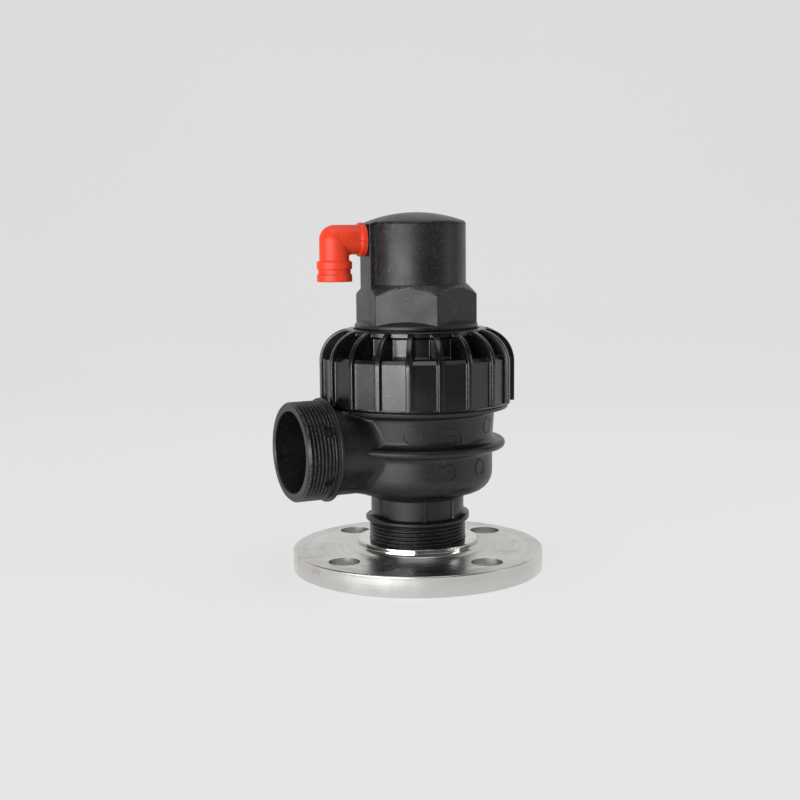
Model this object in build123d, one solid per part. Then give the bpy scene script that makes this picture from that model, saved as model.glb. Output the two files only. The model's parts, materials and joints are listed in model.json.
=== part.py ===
from build123d import *
import os
from math import cos, radians, sqrt, tan

os.makedirs("parts", exist_ok=True)

# Combination air valve for a water main: a kinetic valve in a moulded body, screwed into
# a steel pipe flange, with an automatic valve under a hexagonal cap on top. Sizes are in
# millimetres, angles in degrees, and heights start at the pipe flange's bottom face.

# Two inch pipe thread, the same on the body's stub and on its side outlet
thread_radius = 29.8
thread_lead_in = 1.2
thread_clearance = 0.15

# Pipe flange
flange_plate = 12.6
flange_edge_round = 0.8
flange_rim = 17.5
hub_wall = 7.2
hub_rise = 5.9
hub_foot_round = 3.5
bolt_circle_radius = 60.0
bolt_hole_radius = 9.5
bolt_count = 4
first_bolt_angle = 16.0

# Stub of the body
stub_start = 3.0
stub_wall = 5.8
thread_in_view = 12.0
collar_overhang = 2.3
collar_height = 4.5
collar_round = 1.2
neck_wall = 4.7
neck_height = 10.0
neck_panel_depth = 1.4
neck_panel_starts = (-171.5, -105.5, 66.5, 111.0)
neck_panel_ends = (-111.0, -66.5, 105.5, 171.5)

# Kinetic chamber inside the bowl
ledge_width = 3.0
chamber_wall = 3.5
chamber_floor = 3.9
chamber_top_below_lip = 5.8
guide_rib_count = 4
guide_rib_width = 3.0
guide_clearance = 1.2

# Bowl of the body
waterway_width = 12.5
bowl_wall = 3.5
bowl_draft = 1.2
bowl_floor_slope = 21.8
bowl_corner_round = 12.0
bead_height = 7.8
bead_thickness = 5.0
bead_round = 2.4
bead_foot_round = 3.6
lip_overhang = 2.9
lip_flare_height = 5.4
lip_thickness = 1.9
rim_step = 5.7
rim_wall = 4.9
rim_height = 20.7

# Side outlet
outlet_wall = 5.3
outlet_throat_step = 2.5
outlet_neck_wall = 3.5
outlet_neck_over_floor = 5.3
outlet_collar_overhang = 1.4
outlet_collar_width = 2.0
outlet_collar_to_face = 22.0
outlet_face_chamfer = 2.0
lip_over_throat = 2.5
nut_to_collar = 2.5

# Kinetic float and its seat
float_waterway = 7.5
main_float_stroke = 11.0
float_end_round = 4.0
orifice_lap = 2.0
seat_plate = 4.0
seat_recess = 2.0
seat_skirt = 3.3
seat_skirt_depth = 6.0
orifice_seal_thickness = 3.0
orifice_seal_overhang = 0.7
seal_retainer_margin = 4.0
seal_retainer_thickness = 2.2
wiper_thickness = 2.6
wiper_width = 3.4

# Feed tube and the spider that steadies it
feed_tube_radius = 7.2
feed_tube_wall = 2.7
spider_thickness = 3.0
spider_hub_wall = 3.2
spider_hub_height = 6.7
spider_arm_count = 3
spider_arm_width = 3.0
spider_ring_width = 3.2
spider_lip = 1.5

# Cap of the automatic valve
barrel_radius = 30.6
barrel_wall = 3.0
hex_over_barrel = 1.9
cap_gap = 0.2
cap_collar_height = 2.2
cap_collar_flare = 2.8
hex_corner_height = 20.0
barrel_foot_height = 26.3
cap_height = 69.6
dome_radius = 84.0
cap_edge_round = 2.2
roof_thickness = 4.5
cap_thread_clearance = 1.8
cap_boss_width = 19.0
cap_boss_round = 1.4
port_height_above_cap = 53.7
port_hole_radius = 3.5

# Bonnet
bonnet_flange_overlap = 2.9
bonnet_flange = 4.5
bonnet_floor = 4.5
bonnet_floor_drop = 4.0
bonnet_skirt_depth = 10.0
bonnet_skirt_wall = 3.4
bonnet_boss_wall = 4.8
bonnet_boss_height = 12.5
bonnet_leg_count = 4
bonnet_leg_width = 7.0
bonnet_leg_depth = 4.0
float_rest_inset = 4.0
bonnet_neck_height = 21.2
bonnet_neck_wall = 3.3
bonnet_ring_height = 3.2
bonnet_rib_count = 12
bonnet_rib_width = 2.0
bonnet_spigot_height = 13.8
float_chamber_step = 1.6
float_rest_height = 5.7
float_rest_width = 2.5

# Union nut
nut_thread_clearance = 0.6
nut_skirt_wall = 3.5
nut_rib_height = 2.5
nut_rib_count = 20
nut_rib_width = 3.2
first_nut_rib_angle = 4.5
nut_shoulder = 4.1
nut_shoulder_bevel = 2.0
nut_sleeve_wall = 2.4
nut_top_ring_overhang = 2.0
nut_top_ring_height = 3.2
nut_sleeve_clearance = 1.0
nut_end_gap = 0.5
nut_rib_bottom_gap = 1.2
nut_rib_arch_height = 20.5
washer_thickness = 1.1
washer_width = 11.3

# Automatic float and rolling seal
float_side_gap = 2.0
auto_float_stroke = 7.0
stem_base_radius = 13.0
stem_base_height = 2.5
stem_depth = 5.9
stem_width = 12.0
stem_above_screws = 6.0
stem_to_slot_plate = 9.1
slot_plate_thickness = 5.1
slot_plate_width = 16.0
slot_plate_drop = 20.1
slot_width = 2.4
slot_depth = 3.0
slot_length = 17.0
slot_top_above_port = 3.8
seal_thickness = 1.2
seal_width = 12.0
seal_top_below_port = 0.5
clamp_thickness = 1.5
clamp_height = 4.0
clamp_width = 13.0
clamp_screw_spacing = 8.0
clamp_screw_radius = 0.9
clamp_head_radius = 1.6
clamp_head_height = 1.0
clamp_screw_grip = 3.0
moving_clamp_above_fixed = 6.0
float_to_plate_gap = 4.0

# Drain elbow
drain_direction = 173.0
elbow_spigot_radius = 7.1
elbow_socket_floor = 1.2
elbow_bore_radius = 3.8
elbow_collar_radius = 9.9
elbow_collar_width = 3.9
elbow_limb_radius = 8.6
elbow_drop_radius = 9.15
elbow_reach_from_boss = 18.9
elbow_edge_round = 1.2
elbow_ring_overhang = 1.65
elbow_ring_drop = 12.6
elbow_upper_ring = 5.2
elbow_groove = 3.0
elbow_groove_depth = 0.8
elbow_lower_ring = 4.3
drain_wall = 1.75

# Running gaps and seals
running_gap = 0.3
tube_clearance = 0.6
seat_gap = 0.05
fit_gap = 0.1
seal_cord = 1.8
cap_groove_drop = 2.7
hidden_overlap = 1.0

# Radii that follow from the sizes above
flange_radius = bolt_circle_radius + flange_rim
hub_radius = thread_radius + hub_wall
collar_radius = thread_radius + collar_overhang
stub_bore_radius = thread_radius - stub_wall
neck_radius = stub_bore_radius + neck_wall
outlet_bore_radius = thread_radius - outlet_wall
outlet_throat_radius = outlet_bore_radius - outlet_throat_step
outlet_neck_radius = outlet_bore_radius + outlet_neck_wall
outlet_collar_radius = thread_radius + outlet_collar_overhang
chamber_radius = stub_bore_radius + ledge_width
chamber_outer_radius = chamber_radius + chamber_wall
bowl_foot_radius = chamber_outer_radius + waterway_width + bowl_wall
bowl_top_radius = bowl_foot_radius + bowl_draft
bead_radius = bowl_foot_radius + bead_height
rim_radius = bowl_top_radius + rim_step
rim_bore_radius = rim_radius - rim_wall
lip_radius = rim_radius + lip_overhang
main_float_radius = chamber_radius - float_waterway
orifice_radius = main_float_radius - orifice_lap
seal_retainer_radius = orifice_radius - seal_retainer_margin
feed_tube_bore_radius = feed_tube_radius - feed_tube_wall
barrel_bore_radius = barrel_radius - barrel_wall
hex_apothem = barrel_radius + hex_over_barrel
hex_corner_radius = hex_apothem / cos(radians(30))
float_chamber_radius = barrel_bore_radius - float_chamber_step
auto_float_radius = float_chamber_radius - float_side_gap
spigot_radius = float_chamber_radius + bonnet_neck_wall
cap_thread_radius = spigot_radius + thread_clearance
bonnet_ring_radius = hex_corner_radius + fit_gap
bonnet_flange_radius = rim_bore_radius + bonnet_flange_overlap
nut_bore_radius = rim_radius + nut_thread_clearance
nut_skirt_radius = nut_bore_radius + nut_skirt_wall
nut_rib_radius = nut_skirt_radius + nut_rib_height
nut_sleeve_bore = bonnet_ring_radius + nut_sleeve_clearance
nut_sleeve_radius = nut_sleeve_bore + nut_sleeve_wall
washer_radius = bonnet_flange_radius - fit_gap
elbow_socket_radius = elbow_spigot_radius + running_gap
elbow_ring_radius = elbow_drop_radius + elbow_ring_overhang
drain_bore_radius = elbow_drop_radius - drain_wall

# Distances from the axis that follow from the sizes above
outlet_collar_start = nut_rib_radius + nut_to_collar
outlet_length = outlet_collar_start + outlet_collar_to_face
boss_face = hex_apothem
slot_face = barrel_bore_radius - slot_plate_thickness
stem_face = slot_face - stem_to_slot_plate
elbow_reach = boss_face + elbow_reach_from_boss

# Heights that follow from the sizes above
hub_top = flange_plate + hub_rise
collar_bottom = hub_top + thread_in_view
collar_top = collar_bottom + collar_height
neck_top = collar_top + neck_height
outlet_height = neck_top + outlet_neck_radius + outlet_neck_over_floor
lip_top = outlet_height + outlet_throat_radius + lip_over_throat
lip_bottom = lip_top - lip_thickness
rim_top = lip_top + rim_height
chamber_ledge = neck_top + chamber_floor
chamber_top = lip_top - chamber_top_below_lip
seat_face = chamber_top - seat_recess
seat_top = chamber_top + seat_plate
spider_hub_top = chamber_ledge + spider_hub_height
main_float_bottom = spider_hub_top + running_gap
orifice_seal_top = seat_face - main_float_stroke - seat_gap
main_float_top = orifice_seal_top - orifice_seal_thickness
bonnet_flange_top = rim_top + bonnet_flange
bonnet_floor_bottom = rim_top - bonnet_floor_drop
bonnet_floor_top = bonnet_floor_bottom + bonnet_floor
bonnet_ring_top = bonnet_flange_top + bonnet_neck_height
bonnet_spigot_top = bonnet_ring_top + bonnet_spigot_height
cap_bottom = bonnet_ring_top + cap_gap
cap_top = cap_bottom + cap_height
cap_thread_top = bonnet_spigot_top + cap_thread_clearance
port_height = cap_bottom + port_height_above_cap
slot_plate_bottom = port_height - slot_plate_drop
auto_float_bottom = bonnet_floor_top + float_rest_height + running_gap
auto_float_top = slot_plate_bottom - float_to_plate_gap - auto_float_stroke
washer_bottom = bonnet_flange_top + seat_gap
nut_ceiling = washer_bottom + washer_thickness + seat_gap
nut_bottom = lip_top + nut_end_gap
nut_top = cap_bottom - nut_end_gap


def turned(*corners):
    """A body turned about the valve's axis; a corner is radius, height and perhaps a rounding."""
    outline = make_face(Polyline(*[corner[:2] for corner in corners], close=True))
    for corner in corners:
        if len(corner) == 3:
            nearest = outline.vertices().sort_by_distance((corner[0], corner[1], 0))[0]
            outline = fillet(nearest, corner[2])
    return revolve(Plane.XZ * outline, Axis.Z)


def sideways(shape, height):
    """Lays a body turned about +Z along +X, with its axis at the given height."""
    return Pos(0, 0, height) * Rot(0, 90, 0) * shape


def around(shape, count, first_angle=0.0):
    """Copies a shape round the valve's axis."""
    return [Rot(0, 0, first_angle + 360 * turn / count) * shape for turn in range(count)]


def block(x_low, x_high, width, z_low, z_high):
    """A box centred on the XZ plane between two distances and two heights."""
    size = (x_high - x_low, width, z_high - z_low)
    return Pos((x_low + x_high) / 2, 0, (z_low + z_high) / 2) * Box(*size)


def rod(x_low, x_high, radius, height, offset=0.0):
    """A round rod along +X at a height, moved sideways by the offset."""
    bar = Cylinder(radius, x_high - x_low, align=(Align.CENTER, Align.CENTER, Align.MIN))
    return Pos(x_low, offset, height) * Rot(0, 90, 0) * bar


def cord_ring(inner_radius, outer_radius, height):
    """An O-ring that fills the space between a groove's floor and the wall it seals."""
    minor = (outer_radius - inner_radius) / 2 - seat_gap
    return Pos(0, 0, height) * Torus((outer_radius + inner_radius) / 2, minor)


def floor_height(radius):
    """Height of the bowl's sloping underside at a radius."""
    return neck_top + (radius - neck_radius) * tan(radians(bowl_floor_slope))


def toward_outlet(shape):
    """Turns a shape made along +X to the side outlet's direction."""
    return Rot(0, 0, 180) * shape


def toward_drain(shape):
    """Turns a shape made along +X to the drain elbow's direction."""
    return Rot(0, 0, drain_direction) * shape


def pipe_flange():
    """Steel flange with a short hub, four bolt holes and a threaded middle."""
    bore = thread_radius + thread_clearance
    ring = turned(
        (bore, 0),
        (flange_radius, 0, flange_edge_round),
        (flange_radius, flange_plate, flange_edge_round),
        (hub_radius, flange_plate, hub_foot_round),
        (hub_radius, hub_top, flange_edge_round),
        (bore, hub_top),
    )
    hole = Pos(bolt_circle_radius, 0, flange_plate / 2) * Cylinder(bolt_hole_radius, 2 * flange_plate)
    return ring - around(hole, bolt_count, first_bolt_angle)


def body_outside():
    """Stub, bowl, bead, lip and rim, turned as one solid form."""
    bead_low = outlet_height - bead_thickness / 2
    bead_high = outlet_height + bead_thickness / 2
    return turned(
        (0, stub_start),
        (thread_radius - thread_lead_in, stub_start),
        (thread_radius, stub_start + thread_lead_in),
        (thread_radius, collar_bottom),
        (collar_radius, collar_bottom, collar_round),
        (collar_radius, collar_top, collar_round),
        (neck_radius, collar_top),
        (neck_radius, neck_top, collar_round),
        (bowl_foot_radius, floor_height(bowl_foot_radius), bowl_corner_round),
        (bowl_foot_radius, bead_low, bead_foot_round),
        (bead_radius, bead_low, bead_round),
        (bead_radius, bead_high, bead_round),
        (bowl_foot_radius, bead_high, bead_foot_round),
        (bowl_top_radius, lip_bottom - lip_flare_height, bead_foot_round),
        (lip_radius, lip_bottom),
        (lip_radius, lip_top),
        (rim_radius, lip_top),
        (rim_radius, rim_top),
        (0, rim_top),
    )


def outlet_outside():
    """Side neck, collar and thread of the outlet, kept below the lip where the nut turns."""
    collar_end = outlet_collar_start + outlet_collar_width
    neck = turned(
        (0, 0),
        (outlet_neck_radius, 0),
        (outlet_neck_radius, outlet_collar_start),
        (0, outlet_collar_start),
    )
    neck = sideways(neck, outlet_height)
    nut_room_end = outlet_collar_start - collar_round
    nut_room = block(-hidden_overlap, nut_room_end, 2 * bead_radius, lip_top, rim_top)
    end = turned(
        (0, outlet_collar_start),
        (outlet_collar_radius, outlet_collar_start, collar_round / 2),
        (outlet_collar_radius, collar_end, collar_round / 2),
        (thread_radius, collar_end),
        (thread_radius, outlet_length - outlet_face_chamfer),
        (thread_radius - outlet_face_chamfer, outlet_length),
        (0, outlet_length),
    )
    return toward_outlet(neck - nut_room + sideways(end, outlet_height))


def body_hollow():
    """Inlet bore, kinetic chamber and the ring-shaped way round it to the outlet."""
    inner_radius = bowl_foot_radius - bowl_wall
    inner_top_radius = bowl_top_radius - bowl_wall
    floor_rise = bowl_wall / cos(radians(bowl_floor_slope))
    return turned(
        (0, stub_start - hidden_overlap),
        (stub_bore_radius, stub_start - hidden_overlap),
        (stub_bore_radius, chamber_ledge),
        (chamber_radius, chamber_ledge),
        (chamber_radius, chamber_top),
        (chamber_outer_radius, chamber_top),
        (chamber_outer_radius, floor_height(chamber_outer_radius) + floor_rise),
        (inner_radius, floor_height(inner_radius) + floor_rise, bowl_corner_round - bowl_wall),
        (inner_top_radius, lip_bottom - lip_flare_height + hidden_overlap),
        (rim_bore_radius, lip_top + hidden_overlap),
        (rim_bore_radius, rim_top + hidden_overlap),
        (0, rim_top + hidden_overlap),
    )


def outlet_hollow():
    """Bore of the side outlet, narrowed where it runs under the nut."""
    throat_start = (chamber_outer_radius + bowl_foot_radius - bowl_wall) / 2
    throat_end = lip_radius - bowl_wall
    return toward_outlet(
        sideways(
            turned(
                (0, throat_start),
                (outlet_throat_radius, throat_start),
                (outlet_throat_radius, throat_end),
                (outlet_bore_radius, throat_end + bowl_wall),
                (outlet_bore_radius, outlet_length + hidden_overlap),
                (0, outlet_length + hidden_overlap),
            ),
            outlet_height,
        )
    )


def neck_panel(start, end):
    """Room of one sunken panel in the neck between two angles."""
    floor = neck_radius - neck_panel_depth
    section = Polyline(
        (floor, collar_top),
        (neck_radius + hidden_overlap, collar_top),
        (neck_radius + hidden_overlap, neck_top - neck_panel_depth),
        (floor, neck_top - neck_panel_depth),
        close=True,
    )
    return Rot(0, 0, start) * revolve(Plane.XZ * make_face(section), Axis.Z, end - start)


def valve_body():
    """Moulded body of the kinetic valve."""
    form = body_outside() + outlet_outside()
    for start, end in zip(neck_panel_starts, neck_panel_ends):
        form -= neck_panel(start, end)
    form = form - body_hollow() - outlet_hollow()
    guide = block(
        main_float_radius + guide_clearance, chamber_radius + hidden_overlap, guide_rib_width,
        chamber_ledge + spider_thickness + running_gap, chamber_top - seat_skirt_depth - running_gap,
    )
    return form + around(guide, guide_rib_count, first_bolt_angle)


def float_spider():
    """Ring with arms on the chamber's ledge; its hub steadies the feed tube."""
    hub_radius_outside = feed_tube_radius + fit_gap + spider_hub_wall
    ring_radius = chamber_radius - running_gap
    ring = turned(
        (ring_radius - spider_ring_width, chamber_ledge),
        (ring_radius, chamber_ledge),
        (ring_radius, chamber_ledge + spider_thickness),
        (ring_radius - spider_ring_width, chamber_ledge + spider_thickness),
    )
    hub = turned(
        (feed_tube_bore_radius, chamber_ledge),
        (hub_radius_outside, chamber_ledge),
        (hub_radius_outside, spider_hub_top),
        (feed_tube_radius + fit_gap, spider_hub_top),
        (feed_tube_radius + fit_gap, chamber_ledge + spider_lip),
        (feed_tube_bore_radius, chamber_ledge + spider_lip),
    )
    arm = block(
        hub_radius_outside - hidden_overlap, ring_radius - spider_ring_width + hidden_overlap,
        spider_arm_width, chamber_ledge, chamber_ledge + spider_thickness,
    )
    return ring + hub + around(arm, spider_arm_count)


def feed_tube():
    """Tube that carries pipe pressure past the kinetic float to the automatic float."""
    return turned(
        (feed_tube_bore_radius, chamber_ledge + spider_lip + fit_gap),
        (feed_tube_radius, chamber_ledge + spider_lip + fit_gap),
        (feed_tube_radius, bonnet_floor_bottom),
        (feed_tube_bore_radius, bonnet_floor_bottom),
    )


def seat_ring():
    """Kinetic orifice, let into the top of the chamber with a groove for its O-ring."""
    skirt_radius = chamber_radius - 2 * fit_gap
    groove_radius = chamber_radius - seal_cord
    groove_middle = chamber_top - seat_skirt_depth / 2
    groove_half = seal_cord / 2 + fit_gap
    return turned(
        (orifice_radius, seat_face),
        (skirt_radius - seat_skirt, seat_face),
        (skirt_radius - seat_skirt, chamber_top - seat_skirt_depth),
        (skirt_radius, chamber_top - seat_skirt_depth),
        (skirt_radius, groove_middle - groove_half),
        (groove_radius, groove_middle - groove_half),
        (groove_radius, groove_middle + groove_half),
        (skirt_radius, groove_middle + groove_half),
        (skirt_radius, chamber_top),
        (chamber_outer_radius, chamber_top),
        (chamber_outer_radius, seat_top),
        (orifice_radius, seat_top, seat_recess),
    )


def seat_o_ring():
    """Seals the seat ring in the chamber."""
    return cord_ring(chamber_radius - seal_cord, chamber_radius, chamber_top - seat_skirt_depth / 2)


def wiper_bore():
    """Radius of the main float's hole round the feed tube."""
    return feed_tube_radius + 2 * tube_clearance


def main_float():
    """Kinetic float, a thick ring that rides up the feed tube."""
    bore = wiper_bore()
    pocket = bore + wiper_width - running_gap
    return turned(
        (bore, main_float_bottom),
        (main_float_radius, main_float_bottom, float_end_round),
        (main_float_radius, main_float_top, hidden_overlap),
        (pocket, main_float_top),
        (pocket, main_float_top - wiper_thickness),
        (bore, main_float_top - wiper_thickness),
    )


def float_wiper():
    """Rubber lip ring in the float's top that wipes the feed tube."""
    inner = feed_tube_radius + running_gap
    outer = wiper_bore() + wiper_width - running_gap - fit_gap
    middle = (inner + outer) / 2
    bottom = main_float_top - wiper_thickness + fit_gap
    top = main_float_top - fit_gap
    return turned(
        (inner, bottom),
        (outer, bottom),
        (outer, top),
        (middle + wiper_thickness / 4, top),
        (middle, bottom + wiper_thickness / 3),
        (middle - wiper_thickness / 4, top),
        (inner, top),
    )


def orifice_seal():
    """Rubber disc on the float that closes the kinetic orifice."""
    bore = feed_tube_radius + tube_clearance
    edge = main_float_radius + orifice_seal_overhang
    return turned(
        (bore, main_float_top),
        (edge, main_float_top, orifice_seal_overhang),
        (edge, orifice_seal_top, orifice_seal_overhang),
        (bore, orifice_seal_top),
    )


def seal_retainer():
    """Plate that holds the rubber disc down on the float."""
    bore = feed_tube_radius + tube_clearance
    top = orifice_seal_top + seal_retainer_thickness
    return turned(
        (bore, orifice_seal_top),
        (seal_retainer_radius, orifice_seal_top),
        (seal_retainer_radius, top, seal_retainer_thickness / 2),
        (bore, top),
    )


def bonnet():
    """Lid of the body, chamber of the automatic float and carrier of the cap."""
    skirt_radius = rim_bore_radius - running_gap
    skirt_bottom = rim_top - bonnet_skirt_depth
    groove_radius = rim_bore_radius - seal_cord
    groove_middle = rim_top - bonnet_skirt_depth / 2
    groove_half = seal_cord / 2 + fit_gap
    tube_bore = feed_tube_radius + fit_gap
    boss_radius = tube_bore + bonnet_boss_wall
    boss_bottom = bonnet_floor_bottom - bonnet_boss_height
    tube_groove = feed_tube_radius + seal_cord
    tube_groove_middle = (boss_bottom + bonnet_floor_bottom) / 2
    cap_groove = cap_thread_radius - seal_cord
    cap_groove_middle = bonnet_spigot_top - cap_groove_drop
    shell = turned(
        (feed_tube_bore_radius, bonnet_floor_top),
        (feed_tube_bore_radius, bonnet_floor_bottom + fit_gap),
        (tube_bore, bonnet_floor_bottom + fit_gap),
        (tube_bore, tube_groove_middle + groove_half),
        (tube_groove, tube_groove_middle + groove_half),
        (tube_groove, tube_groove_middle - groove_half),
        (tube_bore, tube_groove_middle - groove_half),
        (tube_bore, boss_bottom),
        (boss_radius, boss_bottom),
        (boss_radius, bonnet_floor_bottom),
        (skirt_radius - bonnet_skirt_wall, bonnet_floor_bottom),
        (skirt_radius - bonnet_skirt_wall, skirt_bottom),
        (skirt_radius, skirt_bottom),
        (skirt_radius, groove_middle - groove_half),
        (groove_radius, groove_middle - groove_half),
        (groove_radius, groove_middle + groove_half),
        (skirt_radius, groove_middle + groove_half),
        (skirt_radius, rim_top),
        (bonnet_flange_radius, rim_top),
        (bonnet_flange_radius, bonnet_flange_top),
        (spigot_radius, bonnet_flange_top),
        (spigot_radius, bonnet_ring_top - bonnet_ring_height),
        (bonnet_ring_radius, bonnet_ring_top - bonnet_ring_height),
        (bonnet_ring_radius, bonnet_ring_top),
        (spigot_radius, bonnet_ring_top),
        (spigot_radius, cap_groove_middle - groove_half),
        (cap_groove, cap_groove_middle - groove_half),
        (cap_groove, cap_groove_middle + groove_half),
        (spigot_radius, cap_groove_middle + groove_half),
        (spigot_radius, bonnet_spigot_top),
        (float_chamber_radius, bonnet_spigot_top),
        (float_chamber_radius, bonnet_floor_top),
    )
    rib = block(
        spigot_radius - hidden_overlap, bonnet_ring_radius, bonnet_rib_width,
        bonnet_flange_top - hidden_overlap, bonnet_ring_top - bonnet_ring_height + hidden_overlap,
    )
    leg = block(
        chamber_outer_radius - bonnet_leg_depth, chamber_outer_radius, bonnet_leg_width,
        seat_top, bonnet_floor_bottom + hidden_overlap,
    )
    rest = block(
        feed_tube_radius, auto_float_radius - float_rest_inset, float_rest_width,
        bonnet_floor_top - hidden_overlap, bonnet_floor_top + float_rest_height,
    )
    shell += around(rib, bonnet_rib_count)
    shell += around(leg, bonnet_leg_count, first_bolt_angle)
    return shell + around(rest, bonnet_leg_count, first_bolt_angle)


def bonnet_o_ring():
    """Seals the bonnet in the body's rim."""
    return cord_ring(rim_bore_radius - seal_cord, rim_bore_radius, rim_top - bonnet_skirt_depth / 2)


def feed_tube_o_ring():
    """Seals the feed tube in the bonnet's boss."""
    height = bonnet_floor_bottom - bonnet_boss_height / 2
    return cord_ring(feed_tube_radius, feed_tube_radius + seal_cord, height)


def cap_o_ring():
    """Seals the cap on the bonnet's spigot."""
    height = bonnet_spigot_top - cap_groove_drop
    return cord_ring(cap_thread_radius - seal_cord, cap_thread_radius, height)


def thrust_washer():
    """Slip ring between the bonnet's flange and the nut's shoulder."""
    return turned(
        (washer_radius - washer_width, washer_bottom),
        (washer_radius, washer_bottom),
        (washer_radius, washer_bottom + washer_thickness),
        (washer_radius - washer_width, washer_bottom + washer_thickness),
    )


def nut_rib():
    """One grip rib: a plate with a quarter of an ellipse from the skirt up to the sleeve."""
    rib_bottom = nut_bottom + nut_rib_bottom_gap
    inner = (nut_sleeve_bore + nut_sleeve_radius) / 2
    arch_foot = nut_top - nut_rib_arch_height
    skirt_middle = (nut_bore_radius + nut_skirt_radius) / 2
    web = nut_ceiling + nut_shoulder / 2
    arch = EllipticalCenterArc(
        (inner, arch_foot), nut_rib_radius - inner, nut_rib_arch_height, start_angle=0, arc_size=90
    )
    rest = Polyline(
        arch @ 1, (inner, web), (skirt_middle, web), (skirt_middle, rib_bottom),
        (nut_rib_radius, rib_bottom), arch @ 0,
    )
    plate = make_face([arch, rest])
    return extrude(Plane.XZ * plate, nut_rib_width / 2, both=True)


def union_nut():
    """Ribbed union nut that clamps the bonnet to the body."""
    shoulder_top = nut_ceiling + nut_shoulder
    ring_radius = nut_sleeve_radius + nut_top_ring_overhang
    shell = turned(
        (nut_bore_radius, nut_bottom),
        (nut_skirt_radius, nut_bottom),
        (nut_skirt_radius, shoulder_top - nut_shoulder_bevel),
        (nut_skirt_radius - nut_shoulder_bevel, shoulder_top),
        (nut_sleeve_radius, shoulder_top),
        (nut_sleeve_radius, nut_top - nut_top_ring_height),
        (ring_radius, nut_top - nut_top_ring_height),
        (ring_radius, nut_top, hidden_overlap),
        (nut_sleeve_bore, nut_top),
        (nut_sleeve_bore, nut_ceiling),
        (nut_bore_radius, nut_ceiling),
    )
    return shell + around(nut_rib(), nut_rib_count, first_nut_rib_angle)


def dome_height(radius):
    """Height of the cap's domed top at a distance from the axis."""
    return cap_top - dome_radius + sqrt(dome_radius**2 - radius**2)


def cap_outside():
    """Hexagonal foot, round barrel with a shallow dome, and the flat boss for the elbow."""
    collar_top_height = cap_bottom + cap_collar_height
    hexagon = Rot(0, 0, 30) * RegularPolygon(hex_apothem, 6, major_radius=False)
    column = extrude(Pos(0, 0, cap_bottom) * hexagon, barrel_foot_height)
    chamfer_start = cap_bottom + hex_corner_height
    chamfer_inside = barrel_radius - hidden_overlap
    chamfer_end = chamfer_start + hex_corner_radius - chamfer_inside
    chamfered = turned(
        (0, cap_bottom),
        (hex_corner_radius + hidden_overlap, cap_bottom),
        (hex_corner_radius, chamfer_start),
        (chamfer_inside, chamfer_end),
        (0, chamfer_end),
    )
    collar = turned(
        (0, cap_bottom),
        (hex_corner_radius + fit_gap, cap_bottom, fit_gap),
        (hex_corner_radius + fit_gap, collar_top_height),
        (hex_apothem - fit_gap, collar_top_height + cap_collar_flare),
        (0, collar_top_height + cap_collar_flare),
    )
    dome = Pos(0, 0, cap_top - dome_radius) * Sphere(dome_radius)
    barrel = Pos(0, 0, cap_bottom + cap_collar_height) * Cylinder(
        barrel_radius, cap_height, align=(Align.CENTER, Align.CENTER, Align.MIN)
    )
    barrel = barrel & dome
    rings = barrel.edges().filter_by(GeomType.CIRCLE)
    rings = rings.filter_by(lambda edge: edge.radius < dome_radius / 2)
    barrel = fillet(rings.sort_by(Axis.Z)[-1], cap_edge_round)
    boss_top = dome_height(boss_face)
    boss = block(hex_apothem / 2, boss_face, cap_boss_width, cap_bottom + cap_collar_height, boss_top)
    outer_edges = boss.faces().sort_by(Axis.X)[-1].edges().sort_by(Axis.Z)[1:]
    boss = fillet(outer_edges, cap_boss_round)
    return (column & chamfered) + collar + barrel + boss


def cap():
    """Shell of the automatic valve with its port socket in the boss."""
    roof = cap_top - roof_thickness
    roof_edge = dome_height(barrel_radius) - roof_thickness
    hollow = turned(
        (0, cap_bottom - hidden_overlap),
        (cap_thread_radius, cap_bottom - hidden_overlap),
        (cap_thread_radius, cap_thread_top),
        (barrel_bore_radius, cap_thread_top),
        (barrel_bore_radius, roof_edge, cap_edge_round),
        (0, roof),
    )
    socket_floor = barrel_bore_radius + elbow_socket_floor
    socket = rod(socket_floor, boss_face + hidden_overlap, elbow_socket_radius, port_height)
    port = rod(barrel_bore_radius - barrel_wall, boss_face, port_hole_radius, port_height)
    return toward_drain(cap_outside() - hollow - socket - port)


def screw_offsets():
    """Sideways places of the two screws in each clamp."""
    return (-clamp_screw_spacing / 2, clamp_screw_spacing / 2)


def fixed_screw_height():
    """Height of the screws in the slot plate's clamp."""
    return slot_plate_bottom + clamp_height / 2 + hidden_overlap


def moving_screw_height():
    """Height of the screws in the stem's clamp at rest."""
    return fixed_screw_height() + moving_clamp_above_fixed


def outer_leg():
    """Inner and outer distance of the seal's leg that lies along the slot plate."""
    return slot_face - 2 * fit_gap - seal_thickness, slot_face - 2 * fit_gap


def inner_leg():
    """Inner and outer distance of the seal's leg that is clamped to the stem."""
    return stem_face + fit_gap, stem_face + fit_gap + seal_thickness


def slot_plate():
    """Upright block in the cap with the drain slot that the rolling seal covers."""
    plate_top = dome_height(barrel_radius) - roof_thickness - hidden_overlap
    plate = block(slot_face, barrel_radius, slot_plate_width, slot_plate_bottom, plate_top)
    room = Pos(0, 0, cap_bottom) * Cylinder(
        barrel_bore_radius - 2 * fit_gap, 2 * cap_height, align=(Align.CENTER, Align.CENTER, Align.MIN)
    )
    slot_top = port_height + slot_top_above_port
    slot_bottom = slot_top - slot_length
    slot_back = slot_face + slot_depth
    slot = block(slot_face - hidden_overlap, slot_back, slot_width, slot_bottom, slot_top)
    way_out_start = slot_face + slot_depth / 2
    way_out = rod(way_out_start, barrel_radius, port_hole_radius - running_gap, port_height)
    plate = (plate & room) - slot - way_out
    for offset in screw_offsets():
        plate -= rod(
            slot_face - hidden_overlap, slot_face + clamp_screw_grip, clamp_screw_radius + fit_gap,
            fixed_screw_height(), offset,
        )
    return toward_drain(plate)


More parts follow.
